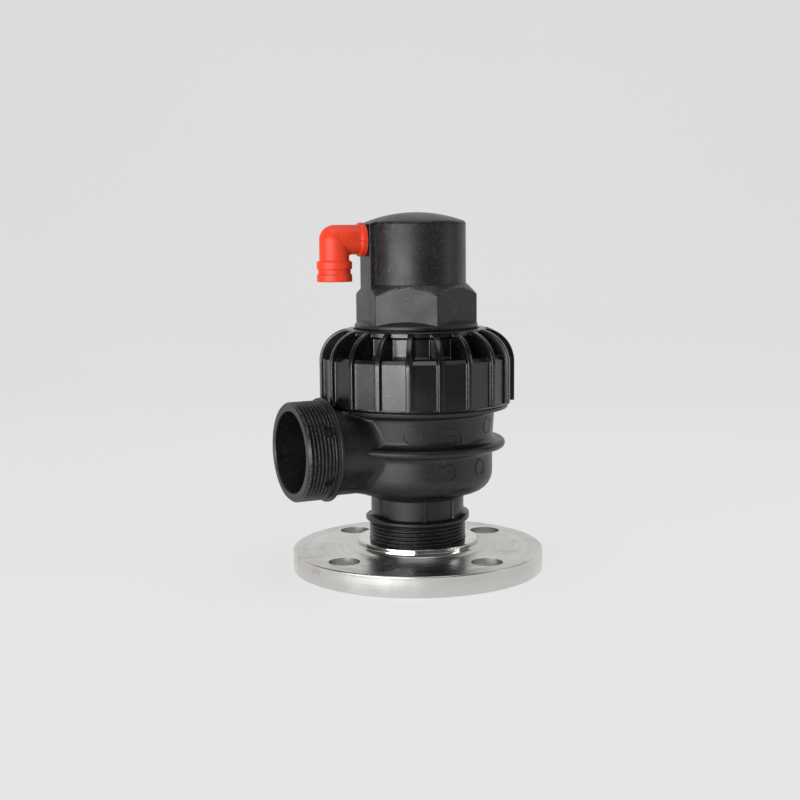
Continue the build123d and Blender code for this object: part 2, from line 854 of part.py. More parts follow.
def rolling_seal():
    """Rubber strip bent over like a hook, from the slot plate's clamp to the stem's clamp."""
    inner_low, inner_high = inner_leg()
    outer_low, outer_high = outer_leg()
    middle = (inner_low + outer_high) / 2
    bend_outside = (outer_high - inner_low) / 2
    bend_inside = (outer_low - inner_high) / 2
    bend_height = port_height - seal_top_below_port - bend_outside
    bottom = fixed_screw_height() - clamp_height / 2
    moving_bottom = moving_screw_height() - clamp_height / 2
    bend = Cylinder(bend_outside, seal_width) - Cylinder(bend_inside, 2 * seal_width)
    bend = Pos(middle, 0, bend_height) * Rot(90, 0, 0) * bend
    bend &= block(
        inner_low - hidden_overlap, outer_high + hidden_overlap, 2 * seal_width,
        bend_height, cap_top,
    )
    strip = bend + block(outer_low, outer_high, seal_width, bottom, bend_height)
    strip += block(inner_low, inner_high, seal_width, moving_bottom, bend_height)
    for offset in screw_offsets():
        hole = clamp_screw_radius + fit_gap
        strip -= rod(outer_low - fit_gap, outer_high + fit_gap, hole, fixed_screw_height(), offset)
        strip -= rod(inner_low - fit_gap, inner_high + fit_gap, hole, moving_screw_height(), offset)
    return toward_drain(strip)


def seal_clamp(face, height):
    """Bar that presses one end of the seal, with its holes for two screws."""
    low, high = face
    bar = block(low, high, clamp_width, height - clamp_height / 2, height + clamp_height / 2)
    for offset in screw_offsets():
        bar -= rod(low - fit_gap, high + fit_gap, clamp_screw_radius + fit_gap, height, offset)
    return toward_drain(bar)


def fixed_seal_clamp():
    """Clamp at the seal's fixed end, on the slot plate."""
    near = outer_leg()[0] - fit_gap
    return seal_clamp((near - clamp_thickness, near), fixed_screw_height())


def moving_seal_clamp():
    """Clamp at the seal's moving end, on the stem."""
    near = inner_leg()[1] + fit_gap
    return seal_clamp((near, near + clamp_thickness), moving_screw_height())


def fixed_clamp_screw(offset):
    """Screw through the fixed clamp into the slot plate, with its head towards the stem."""
    head = outer_leg()[0] - fit_gap - clamp_thickness - seat_gap
    tip = slot_face + clamp_screw_grip - fit_gap
    height = fixed_screw_height()
    screw = rod(head - clamp_head_height, head, clamp_head_radius, height, offset)
    return toward_drain(screw + rod(head - seat_gap, tip, clamp_screw_radius, height, offset))


def moving_clamp_screw(offset):
    """Screw through the moving clamp into the stem, with its head towards the slot plate."""
    head = inner_leg()[1] + fit_gap + clamp_thickness + seat_gap
    tip = stem_face - clamp_screw_grip + fit_gap
    height = moving_screw_height()
    screw = rod(head, head + clamp_head_height, clamp_head_radius, height, offset)
    return toward_drain(screw + rod(tip, head + seat_gap, clamp_screw_radius, height, offset))


def auto_float():
    """Float of the automatic valve."""
    return turned(
        (0, auto_float_bottom),
        (auto_float_radius, auto_float_bottom, float_end_round),
        (auto_float_radius, auto_float_top, float_end_round),
        (0, auto_float_top),
    )


def clamping_stem():
    """Post on the float that carries the seal's moving end."""
    base = turned(
        (0, auto_float_top),
        (stem_base_radius, auto_float_top),
        (stem_base_radius, auto_float_top + stem_base_height, stem_base_height / 2),
        (0, auto_float_top + stem_base_height),
    )
    post = block(
        stem_face - stem_depth, stem_face, stem_width,
        auto_float_top + fit_gap, moving_screw_height() + stem_above_screws,
    )
    stem = base + post
    for offset in screw_offsets():
        stem -= rod(
            stem_face - clamp_screw_grip, stem_face + hidden_overlap, clamp_screw_radius + fit_gap,
            moving_screw_height(), offset,
        )
    return toward_drain(stem)


def drain_elbow():
    """Swivelling drain elbow: spigot, collar, quarter bend and a grooved mouth pointing down."""
    spigot_start = barrel_bore_radius + elbow_socket_floor + running_gap
    collar_start = boss_face + running_gap
    collar_end = collar_start + elbow_collar_width
    groove_radius = elbow_socket_radius - seal_cord - fit_gap
    groove_middle = (spigot_start + boss_face) / 2
    groove_half = seal_cord / 2 + fit_gap
    inlet = turned(
        (0, spigot_start),
        (elbow_spigot_radius, spigot_start),
        (elbow_spigot_radius, groove_middle - groove_half),
        (groove_radius, groove_middle - groove_half),
        (groove_radius, groove_middle + groove_half),
        (elbow_spigot_radius, groove_middle + groove_half),
        (elbow_spigot_radius, collar_start),
        (elbow_collar_radius, collar_start, elbow_edge_round / 2),
        (elbow_collar_radius, collar_end, elbow_edge_round / 2),
        (elbow_limb_radius, collar_end),
        (elbow_limb_radius, elbow_reach),
        (0, elbow_reach),
    )
    ring_top = port_height - elbow_ring_drop
    groove_top = ring_top - elbow_upper_ring
    groove_bottom = groove_top - elbow_groove
    mouth = groove_bottom - elbow_lower_ring
    drop = turned(
        (0, mouth),
        (elbow_ring_radius, mouth, elbow_edge_round / 2),
        (elbow_ring_radius, groove_bottom, elbow_edge_round / 3),
        (elbow_ring_radius - elbow_groove_depth, groove_bottom),
        (elbow_ring_radius - elbow_groove_depth, groove_top),
        (elbow_ring_radius, groove_top, elbow_edge_round / 3),
        (elbow_ring_radius, ring_top, elbow_edge_round),
        (elbow_drop_radius, ring_top),
        (elbow_drop_radius, port_height),
        (0, port_height),
    )
    corner = Pos(elbow_reach, 0, port_height) * Sphere(elbow_drop_radius)
    elbow = sideways(inlet, port_height) + Pos(elbow_reach, 0, 0) * drop + corner
    inlet_bore = rod(spigot_start - hidden_overlap, elbow_reach, elbow_bore_radius, port_height)
    drain_bore = Pos(elbow_reach, 0, mouth - hidden_overlap) * Cylinder(
        drain_bore_radius, port_height - mouth + hidden_overlap,
        align=(Align.CENTER, Align.CENTER, Align.MIN),
    )
    return toward_drain(elbow - inlet_bore - drain_bore)


def elbow_o_ring():
    """Seals the elbow's spigot in the cap's socket and lets it swivel."""
    spigot_start = barrel_bore_radius + elbow_socket_floor + running_gap
    groove_radius = elbow_socket_radius - seal_cord - fit_gap
    ring = cord_ring(groove_radius, elbow_socket_radius - fit_gap, (spigot_start + boss_face) / 2)
    return toward_drain(sideways(ring, port_height))


nodes = {
    "pipe_flange": pipe_flange(),
    "valve_body": valve_body(),
    "float_spider": float_spider(),
    "feed_tube": feed_tube(),
    "seat_ring": seat_ring(),
    "seat_o_ring": seat_o_ring(),
    "main_float": main_float(),
    "float_wiper": float_wiper(),
    "orifice_seal": orifice_seal(),
    "seal_retainer": seal_retainer(),
    "bonnet": bonnet(),
    "bonnet_o_ring": bonnet_o_ring(),
    "feed_tube_o_ring": feed_tube_o_ring(),
    "thrust_washer": thrust_washer(),
    "union_nut": union_nut(),
    "cap": cap(),
    "cap_o_ring": cap_o_ring(),
    "slot_plate": slot_plate(),
    "rolling_seal": rolling_seal(),
    "fixed_seal_clamp": fixed_seal_clamp(),
    "moving_seal_clamp": moving_seal_clamp(),
    "auto_float": auto_float(),
    "clamping_stem": clamping_stem(),
    "drain_elbow": drain_elbow(),
    "elbow_o_ring": elbow_o_ring(),
}
for number, offset in enumerate(screw_offsets(), start=1):
    nodes[f"fixed_clamp_screw_{number}"] = fixed_clamp_screw(offset)
    nodes[f"moving_clamp_screw_{number}"] = moving_clamp_screw(offset)

for name, shape in nodes.items():
    export_step(shape, f"parts/{name}.step")
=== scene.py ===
import json
import logging
from dataclasses import dataclass, field
from enum import Enum
from math import cos, pi, radians, sin, tan

import bmesh
import bpy
import numpy as np
from mathutils import Matrix, Vector


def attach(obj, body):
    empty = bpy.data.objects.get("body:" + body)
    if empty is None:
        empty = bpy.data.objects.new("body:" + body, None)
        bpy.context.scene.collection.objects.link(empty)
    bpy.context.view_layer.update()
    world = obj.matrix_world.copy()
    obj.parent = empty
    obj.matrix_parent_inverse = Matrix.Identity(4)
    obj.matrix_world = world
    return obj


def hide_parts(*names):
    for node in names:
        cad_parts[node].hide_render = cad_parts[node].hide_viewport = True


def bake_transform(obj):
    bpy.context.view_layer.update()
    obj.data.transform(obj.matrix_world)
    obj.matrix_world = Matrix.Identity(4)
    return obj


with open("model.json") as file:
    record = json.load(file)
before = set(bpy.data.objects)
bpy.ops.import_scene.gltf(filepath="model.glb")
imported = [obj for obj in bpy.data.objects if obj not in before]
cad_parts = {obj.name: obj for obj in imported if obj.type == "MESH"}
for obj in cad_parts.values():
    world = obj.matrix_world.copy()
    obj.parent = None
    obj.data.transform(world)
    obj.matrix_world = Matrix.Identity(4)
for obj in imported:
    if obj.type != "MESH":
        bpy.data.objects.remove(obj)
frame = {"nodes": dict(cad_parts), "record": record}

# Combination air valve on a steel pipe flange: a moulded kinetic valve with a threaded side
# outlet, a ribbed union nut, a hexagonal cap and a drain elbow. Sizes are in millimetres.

log = logging.getLogger("air_valve")

# Shared values: places of the ports, picture and sensor, crease in degrees, limits of a mesh in metres

MM = 0.001
OUTLET_HEIGHT = 78.3
PORT_HEIGHT = 203.1
DRAIN_DIRECTION = 173.0
PICTURE = 800.0
SENSOR = 36.0
CREASE = 32.0
DOUBLE = 1e-6
SLIVER = 1e-7
FEWEST_FACES = 10


class End(Enum):
    """How the first or last row of a surface is finished."""

    OPEN = "open"
    POLE = "pole"


class Cut(Enum):
    """How one solid form acts on another."""

    JOIN = "UNION"
    TAKE_AWAY = "DIFFERENCE"


class Run(Enum):
    """How a rib of the nut goes along one run of the panel's outline."""

    SAME = "same"
    STEP = "step"
    FACE = "face"
    ARCH = "arch"


# Surfaces


@dataclass
class Surface:
    """A closed skin made of a grid of points: rows run along a profile, columns go round.

    Attributes:
        points: Array of rows x columns x 3, in millimetres.
        loop: True when the last row joins the first, as on a ring.
        start: How the first row is finished.
        end: How the last row is finished.
        lightening: Optional array of rows x columns, 0 untouched to 1 lightened; it is rubbed wear, and on
            thread crests partly a painted highlight.
        climb: Rows by which a row has climbed after one turn, on a helix.
    """

    points: np.ndarray
    loop: bool = False
    start: End = End.OPEN
    end: End = End.OPEN
    lightening: np.ndarray | None = None
    climb: int = 0

    def faces(self) -> tuple[np.ndarray, np.ndarray, np.ndarray, np.ndarray]:
        """Numbers the faces of the grid.

        Returns:
            Points, quads, triangles and lightening, with each pole merged to one point.
        """
        rows, columns = self.points.shape[:2]
        number = np.arange(rows * columns).reshape(rows, columns)
        if self.loop:
            number = np.vstack([number, number[:1]])
        beside = np.roll(number, -1, 1)
        beside[:, -1] = number[np.minimum(np.arange(len(number)) + self.climb, len(number) - 1), 0]
        quads = np.stack([number[:-1], beside[:-1], beside[1:], number[1:]], axis=-1)
        triangles = np.empty((0, 3), dtype=np.int64)
        if self.start is End.POLE:
            triangles = quads[0][:, [0, 2, 3]]
            triangles[:, 0] = 0
            quads = quads[1:]
        if self.end is End.POLE:
            tip = quads[-1][:, [0, 1, 3]]
            tip[:, 2] = number[-1, 0]
            triangles = np.vstack([triangles, tip])
            quads = quads[:-1]
        lightening = np.zeros((rows, columns)) if self.lightening is None else self.lightening
        return self.points.reshape(-1, 3), quads.reshape(-1, 4), triangles, lightening.ravel()


def mesh_of(name: str, surfaces: list[Surface], crease: float = CREASE) -> bpy.types.Mesh:
    """Puts surfaces into one mesh and smooths it up to a crease angle.

    Args:
        name: Name of the mesh.
        surfaces: Closed skins in millimetres.
        crease: Angle in degrees above which an edge stays sharp.

    Returns:
        The mesh in metres, with loose points and doubles removed.
    """
    skins = [surface.faces() for surface in surfaces]
    shifts = np.cumsum([0] + [len(skin[0]) for skin in skins])
    points = np.vstack([skin[0] for skin in skins])
    quads = np.vstack([skin[1] + shift for skin, shift in zip(skins, shifts)])
    triangles = np.vstack([skin[2] + shift for skin, shift in zip(skins, shifts)])
    lightening = np.concatenate([skin[3] for skin in skins])
    corners = np.concatenate([quads.ravel(), triangles.ravel()]).astype(np.int32)
    sides = np.concatenate([np.full(len(quads), 4), np.full(len(triangles), 3)])
    starts = np.concatenate([[0], np.cumsum(sides)[:-1]]).astype(np.int32)
    mesh = bpy.data.meshes.new(name)
    mesh.vertices.add(len(points))
    mesh.vertices.foreach_set("co", (points * MM).astype(np.float32).ravel())
    mesh.loops.add(len(corners))
    mesh.loops.foreach_set("vertex_index", corners)
    mesh.polygons.add(len(sides))
    mesh.polygons.foreach_set("loop_start", starts)
    mesh.update(calc_edges=True)
    attribute = mesh.attributes.new("lightening", "FLOAT", "POINT")
    attribute.data.foreach_set("value", lightening.astype(np.float32))
    tidy_mesh(mesh)
    smooth(mesh, crease)
    return mesh


def tidy_mesh(mesh: bpy.types.Mesh) -> None:
    """Merges points closer than a micrometre and drops what no face uses.

    Args:
        mesh: Mesh that is changed.
    """
    edit = bmesh.new()
    edit.from_mesh(mesh)
    bmesh.ops.remove_doubles(edit, verts=edit.verts, dist=DOUBLE)
    bmesh.ops.dissolve_degenerate(edit, dist=SLIVER, edges=edit.edges)
    loose = [point for point in edit.verts if not point.link_faces]
    bmesh.ops.delete(edit, geom=loose, context="VERTS")
    edit.to_mesh(mesh)
    edit.free()


def smooth(mesh: bpy.types.Mesh, crease: float) -> None:
    """Shades a mesh smooth and keeps edges steeper than the crease sharp.

    Args:
        mesh: Mesh that is changed.
        crease: Angle in degrees.
    """
    mesh.polygons.foreach_set("use_smooth", np.ones(len(mesh.polygons), dtype=bool))
    mesh.set_sharp_from_angle(angle=radians(crease))
    mesh.update()


def part(name: str, mesh: bpy.types.Mesh, finish: bpy.types.Material) -> bpy.types.Object:
    """Makes an object at the origin from a mesh and gives it its finish."""
    mesh.materials.clear()
    mesh.materials.append(finish)
    made = bpy.data.objects.new(name, mesh)
    bpy.context.scene.collection.objects.link(made)
    log.info("%s: %d faces", name, len(mesh.polygons))
    return made


def combine(
    first: bpy.types.Mesh, second: bpy.types.Mesh, cut: Cut, crease: float = CREASE
) -> bpy.types.Mesh:
    """Joins a closed form to another or takes it away, and keeps the result.

    Args:
        first: Mesh that is kept.
        second: Mesh that is added or taken away.
        cut: Which of the two is done.
        crease: Angle in degrees above which an edge stays sharp.

    Returns:
        A new mesh.
    """
    scene = bpy.context.scene
    holder = bpy.data.objects.new("holder", first)
    tool = bpy.data.objects.new("tool", second)
    scene.collection.objects.link(holder)
    scene.collection.objects.link(tool)
    change = holder.modifiers.new("change", "BOOLEAN")
    change.operation = cut.value
    change.solver = "MANIFOLD"
    change.object = tool
    depsgraph = bpy.context.evaluated_depsgraph_get()
    result = bpy.data.meshes.new_from_object(holder.evaluated_get(depsgraph))
    bpy.data.objects.remove(holder)
    bpy.data.objects.remove(tool)
    if len(result.polygons) < FEWEST_FACES:
        log.warning("%s: nothing came of %s", first.name, cut.value)
        return first
    smooth(result, crease)
    return result


# Outlines and helpers


def outline(corners: list[tuple], turns: int = 6) -> np.ndarray:
    """Draws a profile with rounded corners.

    Each corner is radius, height and, if it is rounded, the radius of its arc. An arc touches
    both sides of its corner, and its points are spaced evenly from one touch to the other.

    Args:
        corners: Corners in order.
        turns: Steps of each arc.

    Returns:
        Array of points x 2.
    """
    drawn = []
    for number, corner in enumerate(corners):
        here = np.array(corner[:2], dtype=float)
        if len(corner) < 3 or number in (0, len(corners) - 1):
            drawn.append(here)
            continue
        before = np.array(corners[number - 1][:2], dtype=float) - here
        after = np.array(corners[number + 1][:2], dtype=float) - here
        before, after = before / np.linalg.norm(before), after / np.linalg.norm(after)
        half = np.arccos(np.clip(before @ after, -1, 1)) / 2
        reach = corner[2] / np.tan(half)
        middle = here + (before + after) / np.linalg.norm(before + after) * corner[2] / np.sin(half)
        first, last = here + before * reach - middle, here + after * reach - middle
        sweep = pi - 2 * half
        steps = np.linspace(0, 1, turns + 1)[:, None]
        drawn.extend(
            middle + (np.sin((1 - steps) * sweep) * first + np.sin(steps * sweep) * last) / np.sin(sweep)
        )
    return np.array(drawn)


def resample(profile: np.ndarray, longest: float) -> np.ndarray:
    """Adds points on a profile's straight runs so that none is longer than a length."""
    runs = np.linalg.norm(np.diff(profile, axis=0), axis=1)
    pieces = np.maximum(1, np.ceil(runs / longest).astype(int))
    parts = [
        profile[i] + (profile[i + 1] - profile[i]) * (np.arange(pieces[i]) / pieces[i])[:, None]
        for i in range(len(runs))
    ]
    return np.vstack([*parts, profile[-1:]])


def circle(columns: int) -> np.ndarray:
    """Angles spaced evenly round a circle."""
    return np.linspace(0, 2 * pi, columns, endpoint=False)


def round_angles(columns: int, extra: tuple | np.ndarray = ()) -> np.ndarray:
    """Even angles round a circle and more where a detail needs them, without near repeats."""
    angles = np.sort(np.concatenate([circle(columns), np.mod(extra, 2 * pi)]))
    return angles[np.diff(angles, prepend=-1.0) > 0.002]


def turn_from(angle: np.ndarray, middle: float = 0.0) -> np.ndarray:
    """Angle from a direction to others, between half a turn back and half a turn on."""
    return np.angle(np.exp(1j * (angle - middle)))


def turned(profile: np.ndarray, angle: np.ndarray) -> np.ndarray:
    """Turns a profile about the vertical axis.

    A point stands at radius x cosine of the angle, radius x sine of it, and height.

    Args:
        profile: Array of radius and height.
        angle: Angles in radians.

    Returns:
        Array of rows x columns x 3.
    """
    return place(profile[:, :1], angle, profile[:, 1:])


def place(radius: np.ndarray, angle: np.ndarray, height: np.ndarray) -> np.ndarray:
    """Points from radius, angle in radians and height, which are stretched to one shape."""
    radius, angle, height = np.broadcast_arrays(radius, angle, height)
    return np.stack([radius * np.cos(angle), radius * np.sin(angle), height], axis=-1)


def toward_outlet(points: np.ndarray, height: float = OUTLET_HEIGHT) -> np.ndarray:
    """Lays a form turned about the upright axis along -X at a height, by a quarter turn."""
    return np.stack([-points[..., 2], points[..., 1], points[..., 0] + height], axis=-1)


def toward_drain(points: np.ndarray) -> np.ndarray:
    """Turns a form made along +X to the drain elbow's direction."""
    angle = radians(DRAIN_DIRECTION)
    x, y, z = np.moveaxis(points, -1, 0)
    return np.stack([x * cos(angle) - y * sin(angle), x * sin(angle) + y * cos(angle), z], axis=-1)


def step(value: np.ndarray, low: float, high: float) -> np.ndarray:
    """Rises from 0 at low to 1 at high along 3t squared - 2t cubed."""
    t = np.clip((value - low) / (high - low), 0, 1)
    return t * t * (3 - 2 * t)


def soft_max(first: np.ndarray, second: np.ndarray, round_off: float) -> np.ndarray:
    """The larger of two arrays, with the crossing rounded off over a width."""
    mix = np.clip(0.5 + 0.5 * (first - second) / round_off, 0, 1)
    return second + (first - second) * mix + round_off * mix * (1 - mix)


def soft_min(first: np.ndarray, second: np.ndarray, round_off: float) -> np.ndarray:
    """The smaller of two arrays, with the crossing rounded off over a width."""
    return -soft_max(-first, -second, round_off)


@dataclass(frozen=True)
class Thread:
    """Right-handed outside thread; as it stands, the two inch pipe thread of eleven turns to the inch.

    Attributes:
        crest: Outside radius.
        pitch: Rise in one turn.
        depth: Depth from crest to root.
    """

    crest: float = 29.8
    pitch: float = 2.309
    depth: float = 1.45

    def section(self) -> tuple[np.ndarray, np.ndarray]:
        """One pitch of the thread: places along it from 0 to 1, and depths below the crest.

        Crest and root are rounded and the flanks between them are straight.
        """
        along = np.array([0.0, 0.065, 0.14, 0.36, 0.43, 0.5, 0.57, 0.64, 0.86, 0.935])
        depth = np.array([0.0, 0.02, 0.17, 0.87, 0.98, 1.0, 0.98, 0.87, 0.17, 0.02])
        return along, depth * self.depth

    def band(
        self, low: float, high: float, angle: np.ndarray, run_out: float = 1.6
    ) -> tuple[np.ndarray, np.ndarray]:
        """Threaded band between two heights, made of rows that climb with the helix.

        A row of turn k stands at low + pitch x (k + its place - 1 + angle / 2 pi), held between
        low and high. After one turn each row meets the row of the next turn. The depth fades in
        and out at the ends, so the band's edges are plain circles.

        Args:
            low: Height where the thread starts.
            high: Height where it ends.
            angle: Angles round the axis in radians.
            run_out: Length over which the groove fades at the upper end.

        Returns:
            Heights and depths below the crest, each rows x columns.
        """
        along, depth = self.section()
        turns = int(np.ceil((high - low) / self.pitch)) + 2
        rows = (np.arange(turns)[:, None] + along).ravel()[:, None]
        height = np.clip(low + self.pitch * (rows - 1 + angle / (2 * pi)), low, high)
        fade = step(height, low, low + 1.2) * (1 - step(height, high - run_out, high))
        return height, np.tile(depth, turns)[:, None] * fade

    @property
    def climb(self) -> int:
        """Rows in one pitch."""
        return len(self.section()[0])

    def lightened(self, groove: np.ndarray) -> np.ndarray:
        """Lightening of the crests: wear, and partly a painted highlight along them; it fades to none a
        quarter of a millimetre below them.
        """
        # Painted highlight and wear: crests are lightened towards the rubbed colour whatever the light.
        return 0.4 * (1 - step(groove, 0.02, 0.25))


# Finishes


Socket = bpy.types.NodeSocket
Value = Socket | float | tuple


class Board:
    """Lays out the nodes of one material."""

    def __init__(self, name: str) -> None:
        """Starts an empty material with its shader and output."""
        self.material = bpy.data.materials.new(name)
        self.material.use_nodes = True
        self.tree = self.material.node_tree
        self.tree.nodes.clear()
        self.output = self.tree.nodes.new("ShaderNodeOutputMaterial")
        self.shader = self.tree.nodes.new("ShaderNodeBsdfPrincipled")
        self.tree.links.new(self.shader.outputs[0], self.output.inputs[0])
        self.coordinates = self.tree.nodes.new("ShaderNodeTexCoord").outputs["Object"]

    def link(self, source: Value, target: Socket) -> None:
        """Links an output to an input, or sets the input to a plain value."""
        if isinstance(source, Socket):
            self.tree.links.new(source, target)
        else:
            target.default_value = source

    def math(self, operation: str, first: Value, second: Value = 0.0, clamp: bool = False) -> Socket:
        """A math node on two values; returns its output."""
        node = self.tree.nodes.new("ShaderNodeMath")
        node.operation, node.use_clamp = operation, clamp
        self.link(first, node.inputs[0])
        self.link(second, node.inputs[1])
        return node.outputs[0]

    def spread(
        self, value: Value, low: float, high: float, to_low: float = 0.0, to_high: float = 1.0
    ) -> Socket:
        """Maps a range of a value onto another, with the ends eased; returns its output."""
        node = self.tree.nodes.new("ShaderNodeMapRange")
        node.interpolation_type = "SMOOTHSTEP"
        self.link(value, node.inputs["Value"])
        names = ("From Min", "From Max", "To Min", "To Max")
        for name, number in zip(names, (low, high, to_low, to_high)):
            node.inputs[name].default_value = number
        return node.outputs[0]

    def noise(
        self, size: float, detail: float = 3.0, vector: Socket | None = None, distortion: float = 0.0
    ) -> Socket:
        """Cloudy noise with features of a size in millimetres; returns its value."""
        node = self.tree.nodes.new("ShaderNodeTexNoise")
        node.inputs["Scale"].default_value = 1 / (size * MM)
        node.inputs["Detail"].default_value = detail
        node.inputs["Distortion"].default_value = distortion
        self.tree.links.new(self.coordinates if vector is None else vector, node.inputs["Vector"])
        return node.outputs[0]

    def cells(self, size: float) -> Socket:
        """Distance to the nearest of scattered points, at a size in millimetres."""
        node = self.tree.nodes.new("ShaderNodeTexVoronoi")
        node.inputs["Scale"].default_value = 1 / (size * MM)
        self.tree.links.new(self.coordinates, node.inputs["Vector"])
        return node.outputs["Distance"]

    def lightened(self) -> Socket:
        """The surface's own lightening attribute, 0 to 1: rubbed wear, and on thread crests partly a
        painted highlight.
        """
        node = self.tree.nodes.new("ShaderNodeAttribute")
        node.attribute_name = "lightening"
        return node.outputs["Fac"]

    def blend(self, amount: Value, first: Value, second: Value) -> Socket:
        """Mixes two colours; returns the colour."""
        node = self.tree.nodes.new("ShaderNodeMix")
        node.data_type = "RGBA"
        self.link(amount, node.inputs[0])
        self.link(first, node.inputs[6])
        self.link(second, node.inputs[7])
        return node.outputs[2]

    def bump(self, height: Socket, depth: float, before: Socket | None = None) -> Socket:
        """Turns a height into a bump of a depth in millimetres; returns the normal."""
        node = self.tree.nodes.new("ShaderNodeBump")
        node.inputs["Strength"].default_value = 1.0
        node.inputs["Distance"].default_value = depth * MM
        self.link(height, node.inputs["Height"])
        if before is not None:
            self.tree.links.new(before, node.inputs["Normal"])
        return node.outputs[0]

    def set(self, name: str, value: Value) -> None:
        """Sets or links one socket of the shader."""
        self.link(value, self.shader.inputs[name])


@dataclass(frozen=True)
class Moulding:
    """A moulded plastic or rubber skin.

    Attributes:
        name: Name of the material.
        colour: Linear base colour.
        rubbed: Linear colour of rubbed edges and scratches.
        roughness: Middle roughness.
        swing: How far the roughness wanders.
        grain: Size of the mould's grain in millimetres.
        grain_depth: Depth of that grain.
        scratches: Share of fine scratches, 0 for none.
        dust: Share of light specks.
        specular: Strength of the plain reflection.
        mottle: Share of fine light mottling.
    """

    name: str
    colour: tuple[float, float, float]
    rubbed: tuple[float, float, float]
    roughness: float = 0.4
    swing: float = 0.06
    grain: float = 0.5
    grain_depth: float = 0.02
    scratches: float = 0.3
    dust: float = 0.2
    specular: float = 0.5
    mottle: float = 0.03

    def build(self) -> bpy.types.Material:
        """Builds the material: grain, cloudy tone, scratches, dust, rubbed edges and painted crest
        highlights.
        """
        board = Board(self.name)
        cloud = board.noise(22.0, 3.0)
        fine = board.noise(self.grain, 2.0)
        ripple = board.noise(7.0, 2.0)
        darker = tuple(0.72 * value for value in self.colour) + (1.0,)
        tone = board.blend(board.spread(cloud, 0.3, 0.7), darker, (*self.colour, 1.0))
        marks = board.math("MULTIPLY", self.scratch_lines(board), self.scratches)
        specks = board.spread(board.cells(5.0), 0.0, 0.055, 1.0, 0.0)
        dusty = board.spread(board.noise(9.0, 1.0), 0.5, 0.62, 0.0, self.dust)
        specks = board.math("MULTIPLY", specks, dusty)
        patchy = board.spread(board.noise(1.6, 3.0), 0.42, 0.62)
        # Rubbed wear from the lightening attribute; on thread crests it is partly a painted highlight.
        rubbed = board.math("MULTIPLY", board.lightened(), patchy)
        light = board.math("MAXIMUM", board.math("MAXIMUM", marks, specks), rubbed)
        mottled = board.spread(board.noise(1.3, 4.0), 0.42, 0.72, 0.0, self.mottle)
        light = board.math("ADD", light, mottled, clamp=True)
        board.set("Base Color", board.blend(light, tone, (*self.rubbed, 1.0)))
        rough = board.spread(cloud, 0.3, 0.7, self.roughness - self.swing, self.roughness + self.swing)
        rough = board.math("ADD", rough, board.math("MULTIPLY", light, 0.25), clamp=True)
        board.set("Roughness", rough)
        board.set("Specular IOR Level", self.specular)
        wavy = board.bump(ripple, 0.035)
        board.set("Normal", board.bump(fine, self.grain_depth, wavy))
        return board.material

    def scratch_lines(self, board: Board) -> Socket:
        """Fine curved scuffs: thin bands where a cloudy noise crosses its middle, in patches."""
        lines = None
        for size, shift in ((5.0, 0.5), (3.1, 0.47)):
            cloud = board.noise(size, 2.0, distortion=0.5)
            off = board.math("ABSOLUTE", board.math("SUBTRACT", cloud, shift))
            hair = board.spread(off, 0.001, 0.006, 1.0, 0.0)
            hair = board.math("MULTIPLY", hair, board.spread(board.noise(13.0 + size, 2.0), 0.56, 0.7))
            lines = hair if lines is None else board.math("MAXIMUM", lines, hair)
        return lines


@dataclass(frozen=True)
class TurnedSteel:
    """Stainless steel turned on a lathe, with cutting marks round the axis and faint stains.

    Attributes:
        name: Name of the material.
        colour: Linear base colour.
        stain: Linear colour of the stains.
        roughness: Middle roughness of the faces.
        rings: Spacing of the cutting marks in millimetres.
        polished: Radius within which and height above which it is polished, in millimetres.
    """

    name: str
    colour: tuple[float, float, float] = (0.60, 0.59, 0.565)
    stain: tuple[float, float, float] = (0.36, 0.31, 0.25)
    roughness: float = 0.30
    rings: float = 0.35
    polished: tuple[float, float] | None = None

    def build(self) -> bpy.types.Material:
        """Builds the material: rings from the distance to the axis, streaks, stains, polish."""
        board = Board(self.name)
        split = board.tree.nodes.new("ShaderNodeSeparateXYZ")
        board.tree.links.new(board.coordinates, split.inputs[0])
        across = board.math("POWER", split.outputs[0], 2.0)
        along = board.math("POWER", split.outputs[1], 2.0)
        radius = board.math("SQRT", board.math("ADD", across, along))
        polar = board.tree.nodes.new("ShaderNodeCombineXYZ")
        board.link(radius, polar.inputs[0])
        board.link(split.outputs[2], polar.inputs[1])
        cutting = board.noise(self.rings, 2.0, polar.outputs[0])
        broad = board.noise(4.0, 2.0, polar.outputs[0])
        cloud = board.noise(30.0, 4.0)
        blots = board.noise(9.0, 5.0, distortion=0.6)
        blotted, patchy = board.spread(blots, 0.56, 0.74), board.spread(cloud, 0.42, 0.66, 0.05, 0.45)
        stained = board.math("MULTIPLY", blotted, patchy)
        board.set("Base Color", board.blend(stained, (*self.colour, 1.0), (*self.stain, 1.0)))
        board.set("Metallic", 1.0)
        rough = board.spread(cloud, 0.3, 0.7, self.roughness - 0.07, self.roughness + 0.07)
        rough = board.math("ADD", rough, board.spread(broad, 0.35, 0.65, -0.04, 0.05))
        rough = board.math("ADD", rough, board.math("MULTIPLY", stained, 0.18))
        dull = 1.0
        if self.polished:
            reach, foot = self.polished
            within = board.spread(radius, (reach - 0.3) * MM, (reach + 0.3) * MM, 1.0, 0.0)
            above = board.spread(split.outputs[2], (foot - 0.3) * MM, (foot + 0.3) * MM)
            dull = board.math("SUBTRACT", 1.0, board.math("MULTIPLY", within, above))
            shine = board.spread(blots, 0.3, 0.7, 0.07, 0.13)
            rougher = board.math("MULTIPLY", dull, board.math("SUBTRACT", rough, shine))
            rough = board.math("ADD", shine, rougher)
        board.set("Roughness", board.math("ADD", rough, 0.0, clamp=True))
        board.set("Normal", board.bump(board.math("MULTIPLY", cutting, dull), 0.012))
        return board.material


